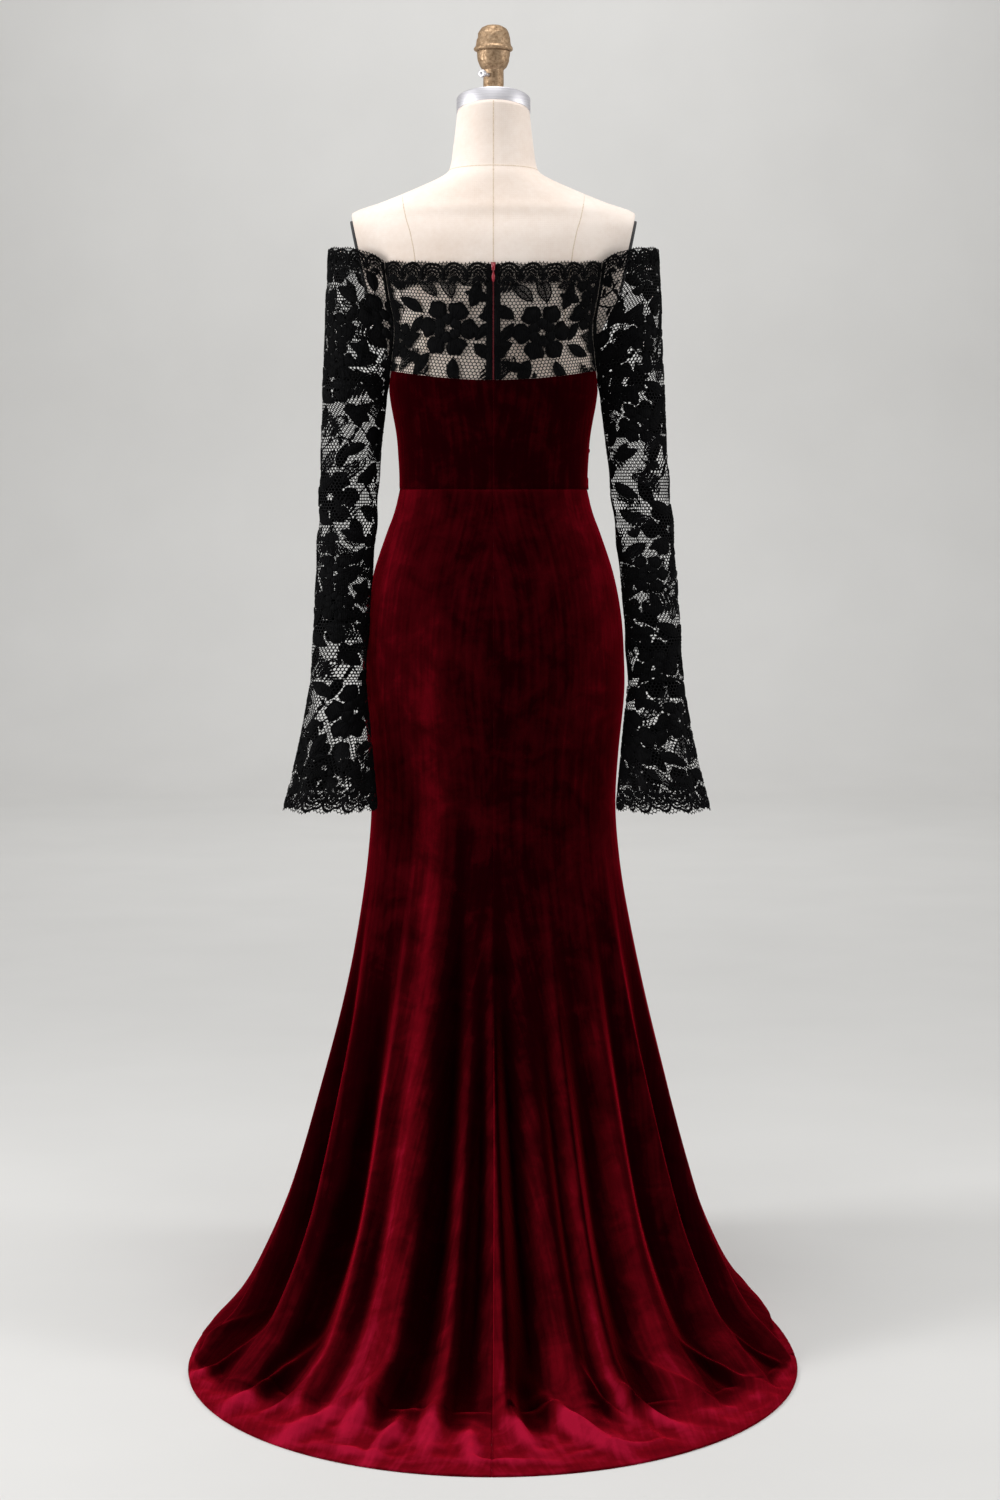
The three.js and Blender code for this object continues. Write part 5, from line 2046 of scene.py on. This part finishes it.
@dataclass
class DressForm:
    """The padded linen torso with its seams, plates, knob and stand."""

    finishes: Finishes
    inset: float = 2.9
    bottom: float = 760.0
    top: float = 1589.0
    cut_z: float = 1240.0
    cut_reach: float = 146.0
    cut_slope: float = 0.214
    seam_width: float = 2.2
    seam_steps: int = 120
    shoulder_top: float = 1476.0
    neck_base: float = 1510.0
    arm_plate: tuple[float, float, float] = (33.0, 50.0, 4.0)
    neck_radius: float = 50.0
    neck_plate_height: float = 19.0
    neck_slope: float = 0.235
    neck_shift: float = 6.0
    screw_z: float = 1638.0
    screw_turn: float = -121.0
    screw_start: float = 14.0
    lump_size: float = 7.0
    axis_clear: float = 4.0

    def shell(self, turn: Array, z: Array, out: float = 0.0) -> Array:
        """Gives points of the torso's cover at turns and heights, cut flat at the arms."""
        above = smoothstep(FIGURE[-1].z, SHOULDERS[0].z, z)
        inset = self.inset * (1 - above) - out
        points = level_point(FORM, turn, z)
        shrunk = level_point(FORM, turn, z, 1.0) - points
        points = points + shrunk * inset[:, None]
        cut = np.where(
            z < self.cut_z, 1e4, self.cut_reach + self.cut_slope * (z - self.cut_z) + min(out, 0.3)
        )
        points[:, 0] = np.sign(points[:, 0]) * np.minimum(np.abs(points[:, 0]), cut)
        points[:, 2] -= FORM.at("tilt", z) * (points[:, 1] - FORM.at("mid", z))
        return points

    def torso(self) -> None:
        """Builds the padded torso, closed at the neck and below."""
        bm, u, v = grid(160, 200)
        move_to(bm, self.shell(u * 2 * math.pi, lerp(self.bottom, self.top, v)))
        bmesh.ops.remove_doubles(bm, verts=bm.verts[:], dist=1e-6)
        rims = [edge for edge in bm.edges if edge.is_boundary]
        bmesh.ops.holes_fill(bm, edges=rims, sides=0)
        bmesh.ops.recalc_face_normals(bm, faces=bm.faces[:])
        make_piece(bm, "torso_cover", [self.finishes.linen], "linen", "root", "form_torso")

    def seam_path(self, kind: str, z: Array) -> Array:
        """Gives the turn round the body of a seam of the cover at some heights."""
        if kind == "centre back":
            return np.full_like(z, BACK)
        if kind == "centre front":
            return np.full_like(z, math.pi / 2)
        reach = np.interp(z, [760, 1080, 1225, 1398, 1455, 1480], [84, 62, 84, 106, 118, 121])
        turn = np.arccos(np.clip(reach / (FORM.at("side", z) - 2.0), -0.98, 0.98))
        if kind.endswith("left"):
            turn = math.pi - turn
        return -turn if kind.startswith("back") else turn

    def lay_welt(self, verts: list[bmesh.types.BMVert], turn: Array, z: Array, across: Array) -> None:
        """Lays a strip on the cover as a low welt.

        Args:
            verts: The strip's vertices.
            turn: Each vertex's turn round the body.
            z: Each vertex's height.
            across: Each vertex's place across the strip, from -1 to 1.
        """
        crown = 0.5 * (1 - np.abs(across)) - 0.15
        low = self.shell(turn, z, 0.0)
        outward = self.shell(turn, z, 1.0) - low
        for vertex, point in zip(verts, low + outward * crown[:, None], strict=True):
            vertex.co = point * MM

    def seams(self) -> None:
        """Builds the stitched seams of the cover as low welts, with one round the base of the neck."""
        bm = bmesh.new()
        tops = {"centre": self.top - 1.0, "back": self.shoulder_top, "front": self.shoulder_top}
        kinds = ("centre back", "centre front", "back left", "back right", "front left", "front right")
        for kind in kinds:
            made = bmesh.ops.create_grid(bm, x_segments=2, y_segments=self.seam_steps, size=0.5)
            across = np.array([vertex.co.x * 2 for vertex in made["verts"]])
            along = np.array([vertex.co.y + 0.5 for vertex in made["verts"]])
            z = lerp(WAIST_Z, tops[kind.split()[0]], along)
            turn = self.seam_path(kind, z) + across * self.seam_width / 2 / FORM.at("side", z)
            self.lay_welt(made["verts"], turn, z, across)
        ring = bmesh.ops.create_grid(bm, x_segments=2, y_segments=self.seam_steps, size=0.5)
        across = np.array([vertex.co.x * 2 for vertex in ring["verts"]])
        turn = np.array([(vertex.co.y + 0.5) * 2 * math.pi for vertex in ring["verts"]])
        self.lay_welt(ring["verts"], turn, self.neck_base - across * self.seam_width / 2, across)
        bmesh.ops.remove_doubles(bm, verts=ring["verts"], dist=1e-6)
        piece = make_piece(bm, "torso_seams", [self.finishes.stitching], "linen", "root")
        thicken(piece, 0.3)

    def arm_plates(self) -> None:
        """Builds the oval plates at the arms, with a rounded rim."""
        for name, hand in (("arm_plate_left", -1), ("arm_plate_right", 1)):
            low, high = (Vector(corner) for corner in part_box(name))
            middle = (low + high) / 2
            bm = bmesh.new()
            half_width, half_height, thick = (size * MM for size in self.arm_plate)
            bmesh.ops.create_cone(bm, cap_ends=True, segments=72, radius1=1.0, radius2=1.0, depth=thick)
            bmesh.ops.scale(bm, vec=(half_width, half_height, 1.0), verts=bm.verts)
            rim = [edge for edge in bm.edges if edge.calc_face_angle(0.0) > 1.0]
            bmesh.ops.bevel(
                bm, geom=rim, offset=1.2 * MM, segments=3, profile=0.5, affect="EDGES", material=-1
            )
            lean = math.atan(self.cut_slope)
            turn = Matrix.Rotation(hand * lean, 4, "Y") @ Matrix.Rotation(math.pi / 2, 4, "Y")
            spin = Matrix.Rotation(math.pi / 2, 4, "Z")
            bmesh.ops.transform(bm, matrix=Matrix.Translation(middle) @ turn @ spin, verts=bm.verts)
            make_piece(bm, name + "_disc", [self.finishes.plastic], "arm_plate", "root", name)

    def neck_plate(self) -> None:
        """Builds the brushed steel cap of the neck, tilted with the neck's cut."""
        bm = bmesh.new()
        radius = self.neck_radius * MM
        height = self.neck_plate_height * MM
        bmesh.ops.create_cone(
            bm, cap_ends=True, segments=128, radius1=radius, radius2=radius, depth=height
        )
        rim = [edge for edge in bm.edges if edge.calc_face_angle(0.0) > 1.0]
        bmesh.ops.bevel(
            bm, geom=rim, offset=1.2 * MM, segments=4, profile=0.5, affect="EDGES", material=-1
        )
        bmesh.ops.translate(bm, vec=(0.0, 0.0, height / 2 + 0.3 * MM), verts=bm.verts)
        tilt = Matrix.Rotation(-math.atan(self.neck_slope), 4, "X")
        place = Matrix.Translation((0.0, self.neck_shift * MM, self.top * MM))
        bmesh.ops.transform(bm, matrix=place @ tilt, verts=bm.verts)
        make_piece(bm, "neck_cap", [self.finishes.steel], "steel", "root", "neck_plate")

    def turned(self, outline: Path, lumps: float, seed: float) -> Solid:
        """Turns a half-outline about the pole, with the lumps of a rough casting.

        Args:
            outline: Radius and height of each corner, in millimetres, from axis to axis.
            lumps: How far the casting's lumps stand out, in millimetres.
            seed: Where the lumps' pattern starts.

        Returns:
            The turned mesh, in metres.
        """
        bm = bmesh.new()
        line = [bm.verts.new((radius, 0.0, z)) for radius, z in outline]
        for pair in zip(line, line[1:]):
            bm.edges.new(pair)
        bmesh.ops.bevel(
            bm, geom=line[1:-1], offset=0.7, segments=3, profile=0.5, affect="VERTICES", material=-1
        )
        bmesh.ops.subdivide_edges(bm, edges=bm.edges[:], cuts=2)
        bmesh.ops.spin(
            bm,
            geom=[*bm.verts, *bm.edges],
            cent=(0, 0, 0),
            axis=(0, 0, 1),
            angle=2 * math.pi,
            steps=96,
            use_merge=True,
        )
        bmesh.ops.remove_doubles(bm, verts=bm.verts[:], dist=1e-4)
        bmesh.ops.recalc_face_normals(bm, faces=bm.faces[:])
        for vertex in bm.verts:
            flat = Vector((vertex.co.x, vertex.co.y, 0.0))
            if flat.length > self.axis_clear:
                place = vertex.co / self.lump_size + Vector((seed, 0.0, 0.0))
                vertex.co += flat.normalized() * (lumps * noise.noise(place))
        bmesh.ops.scale(bm, vec=(MM, MM, MM), verts=bm.verts)
        return bm

    def knob(self) -> None:
        """Builds the cast brass knob, in its two parts, and the screw in its stem."""
        cup = [(0, 1612.8), (9, 1612.8), (9, 1616), (17, 1616), (17, 1619), (13.7, 1621), (13.7, 1646)]
        cup += [(17.5, 1650), (21, 1658), (22.2, 1667), (22.2, 1671.5), (0, 1671.5)]
        cap = [(0, 1671.8), (24.5, 1671.8), (26.2, 1673.5), (26, 1676), (23.6, 1679), (22.6, 1687)]
        cap += [(20.6, 1696), (16.5, 1703), (9, 1706.6), (0, 1707)]
        brass = [self.finishes.brass]
        make_piece(self.turned(cup, 0.5, 0.0), "knob_cup", brass, "brass", "root", "finial_cup")
        make_piece(self.turned(cap, 1.1, 9.0), "knob_cap", brass, "brass", "root", "finial_cap")
        bm = bmesh.new()
        shank = bmesh.ops.create_cone(bm, cap_ends=True, segments=32, radius1=2.6, radius2=2.6, depth=12)
        bmesh.ops.translate(bm, vec=(0, 0, 6), verts=shank["verts"])
        head = bmesh.ops.create_cone(bm, cap_ends=True, segments=48, radius1=5.2, radius2=4.9, depth=5)
        bmesh.ops.translate(bm, vec=(0, 0, 14.5), verts=head["verts"])
        face = max(bm.faces, key=lambda f: f.calc_center_median().z)
        bmesh.ops.inset_individual(bm, faces=[face], thickness=0.8, depth=0.5)
        bmesh.ops.inset_individual(bm, faces=[face], thickness=2.7, depth=0.0)
        bmesh.ops.inset_individual(bm, faces=[face], thickness=0.1, depth=-2.5)
        turn = Matrix.Rotation(math.radians(self.screw_turn), 4, "Z")
        place = Matrix.Translation((0, 0, self.screw_z)) @ turn
        place = place @ Matrix.Translation((self.screw_start, 0, 0))
        place = place @ Matrix.Rotation(math.pi / 2, 4, "Y")
        bmesh.ops.transform(bm, matrix=Matrix.Diagonal((MM, MM, MM, 1.0)) @ place, verts=bm.verts)
        make_piece(bm, "knob_screw", [self.finishes.steel], "steel", "root", "finial_screw")

    def stand(self) -> None:
        """Builds the pole and the round base inside the skirt."""
        base = [(0, 0), (165, 0), (165, 8), (161, 12), (34, 12), (34, 40), (0, 40)]
        pole = [(0, 40.3), (14, 40.3), (14, 737.7), (45, 751.7), (45, 759.7), (0, 759.7)]
        for name, outline in (("stand_base", base), ("stand_pole", pole)):
            bm = self.turned([(float(r), float(z)) for r, z in outline], 0.0, 0.0)
            make_piece(bm, name + "_turned", [self.finishes.iron], "iron", "root", name)

    def build(self) -> None:
        """Builds the form."""
        self.torso()
        self.seams()
        self.arm_plates()
        self.neck_plate()
        self.knob()
        self.stand()


# The studio


@dataclass(frozen=True)
class SoftLight:
    """A large soft lamp: its place, what it points at, its size in metres and its power in watts."""

    name: str
    place: tuple[float, float, float]
    target: tuple[float, float, float]
    size: float
    power: float


@dataclass
class Studio:
    """The pale sweep, in millimetres, and the soft lamps and the camera, in metres."""

    finishes: Finishes
    sweep_start: float = -9000.0
    sweep_end: float = 6300.0
    sweep_radius: float = 1500.0
    sweep_rise: float = 3500.0
    sweep_width: float = 24000.0
    sweep_below: float = 0.4
    light_all_round: float = 0.45
    distance: float = 3.8
    eye: float = 1.066
    aside: float = 0.0088
    lens: float = 67.56
    horizon_above_middle: float = 250 / 1500
    lights: tuple[SoftLight, ...] = (
        SoftLight("left softbox", (-3.3, -0.9, 1.7), (0.0, 0.0, 0.75), 1.1, 82.0),
        SoftLight("right softbox", (3.3, -0.5, 1.7), (0.0, 0.0, 0.75), 1.1, 42.0),
        SoftLight("overhead softbox", (0.0, -0.5, 3.7), (0.0, -0.6, 0.0), 1.6, 52.0),
        SoftLight("front fill", (-0.6, -4.6, 2.6), (0.0, 0.0, 1.2), 1.5, 10.0),
        SoftLight("backdrop softbox", (0.0, 4.2, 4.4), (0.0, 7.2, 1.0), 3.0, 108.0),
    )

    def sweep(self) -> None:
        """Builds the floor, which curves up into the backdrop."""
        bm, u, v = grid(8, 160)
        radius = self.sweep_radius
        flat = self.sweep_end - self.sweep_start
        length = v * (flat + radius * math.pi / 2 + self.sweep_rise)
        angle = np.clip((length - flat) / radius, 0, math.pi / 2)
        rise = np.maximum(length - flat - radius * math.pi / 2, 0.0)
        y = self.sweep_start + np.minimum(length, flat) + radius * np.sin(angle)
        z = radius * (1 - np.cos(angle)) + rise - self.sweep_below
        move_to(bm, np.stack([(u - 0.5) * self.sweep_width, y, z], axis=-1))
        mesh = bpy.data.meshes.new("studio_sweep")
        bm.to_mesh(mesh)
        bm.free()
        mesh.materials.append(self.finishes.floor)
        mesh.shade_smooth()
        sweep = bpy.data.objects.new("studio_sweep", mesh)
        bpy.context.scene.collection.objects.link(sweep)

    def lamps(self) -> None:
        """Builds the lamps and the dim light all round."""
        for light in self.lights:
            data = bpy.data.lights.new(light.name, "AREA")
            data.energy = light.power
            data.size = light.size
            lamp = bpy.data.objects.new(light.name, data)
            lamp.location = light.place
            aim = Vector(light.target) - Vector(light.place)
            lamp.rotation_euler = aim.to_track_quat("-Z", "Y").to_euler()
            bpy.context.scene.collection.objects.link(lamp)
        world = bpy.data.worlds.new("studio")
        world.use_nodes = True
        background = world.node_tree.nodes["Background"]
        background.inputs["Color"].default_value = linear("#d9d9d8")
        background.inputs["Strength"].default_value = self.light_all_round
        bpy.context.scene.world = world

    def camera(self) -> None:
        """Builds the camera, level with the waist, with the frame dropped to take in the train."""
        data = bpy.data.cameras.new("camera")
        data.lens = self.lens
        data.sensor_width = 36.0
        data.shift_y = -self.horizon_above_middle
        camera = bpy.data.objects.new("camera", data)
        camera.location = (self.aside, -self.distance, self.eye)
        camera.rotation_euler = (math.pi / 2, 0.0, 0.0)
        bpy.context.scene.collection.objects.link(camera)
        bpy.context.scene.camera = camera

    def build(self) -> None:
        """Builds the studio."""
        self.camera()
        self.lamps()
        self.sweep()
        bpy.context.scene.view_settings.view_transform = "Standard"


def main() -> None:
    """Builds the studio, the form, the gown and the zip."""
    logging.basicConfig(level=logging.INFO, format="%(name)s: %(message)s")
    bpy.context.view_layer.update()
    finishes = Finishes.build()
    Studio(finishes).build()
    DressForm(finishes).build()
    VelvetPieces(finishes).build()
    LacePieces(finishes).build()
    Zip(finishes).build()


if __name__ == "__main__":
    main()
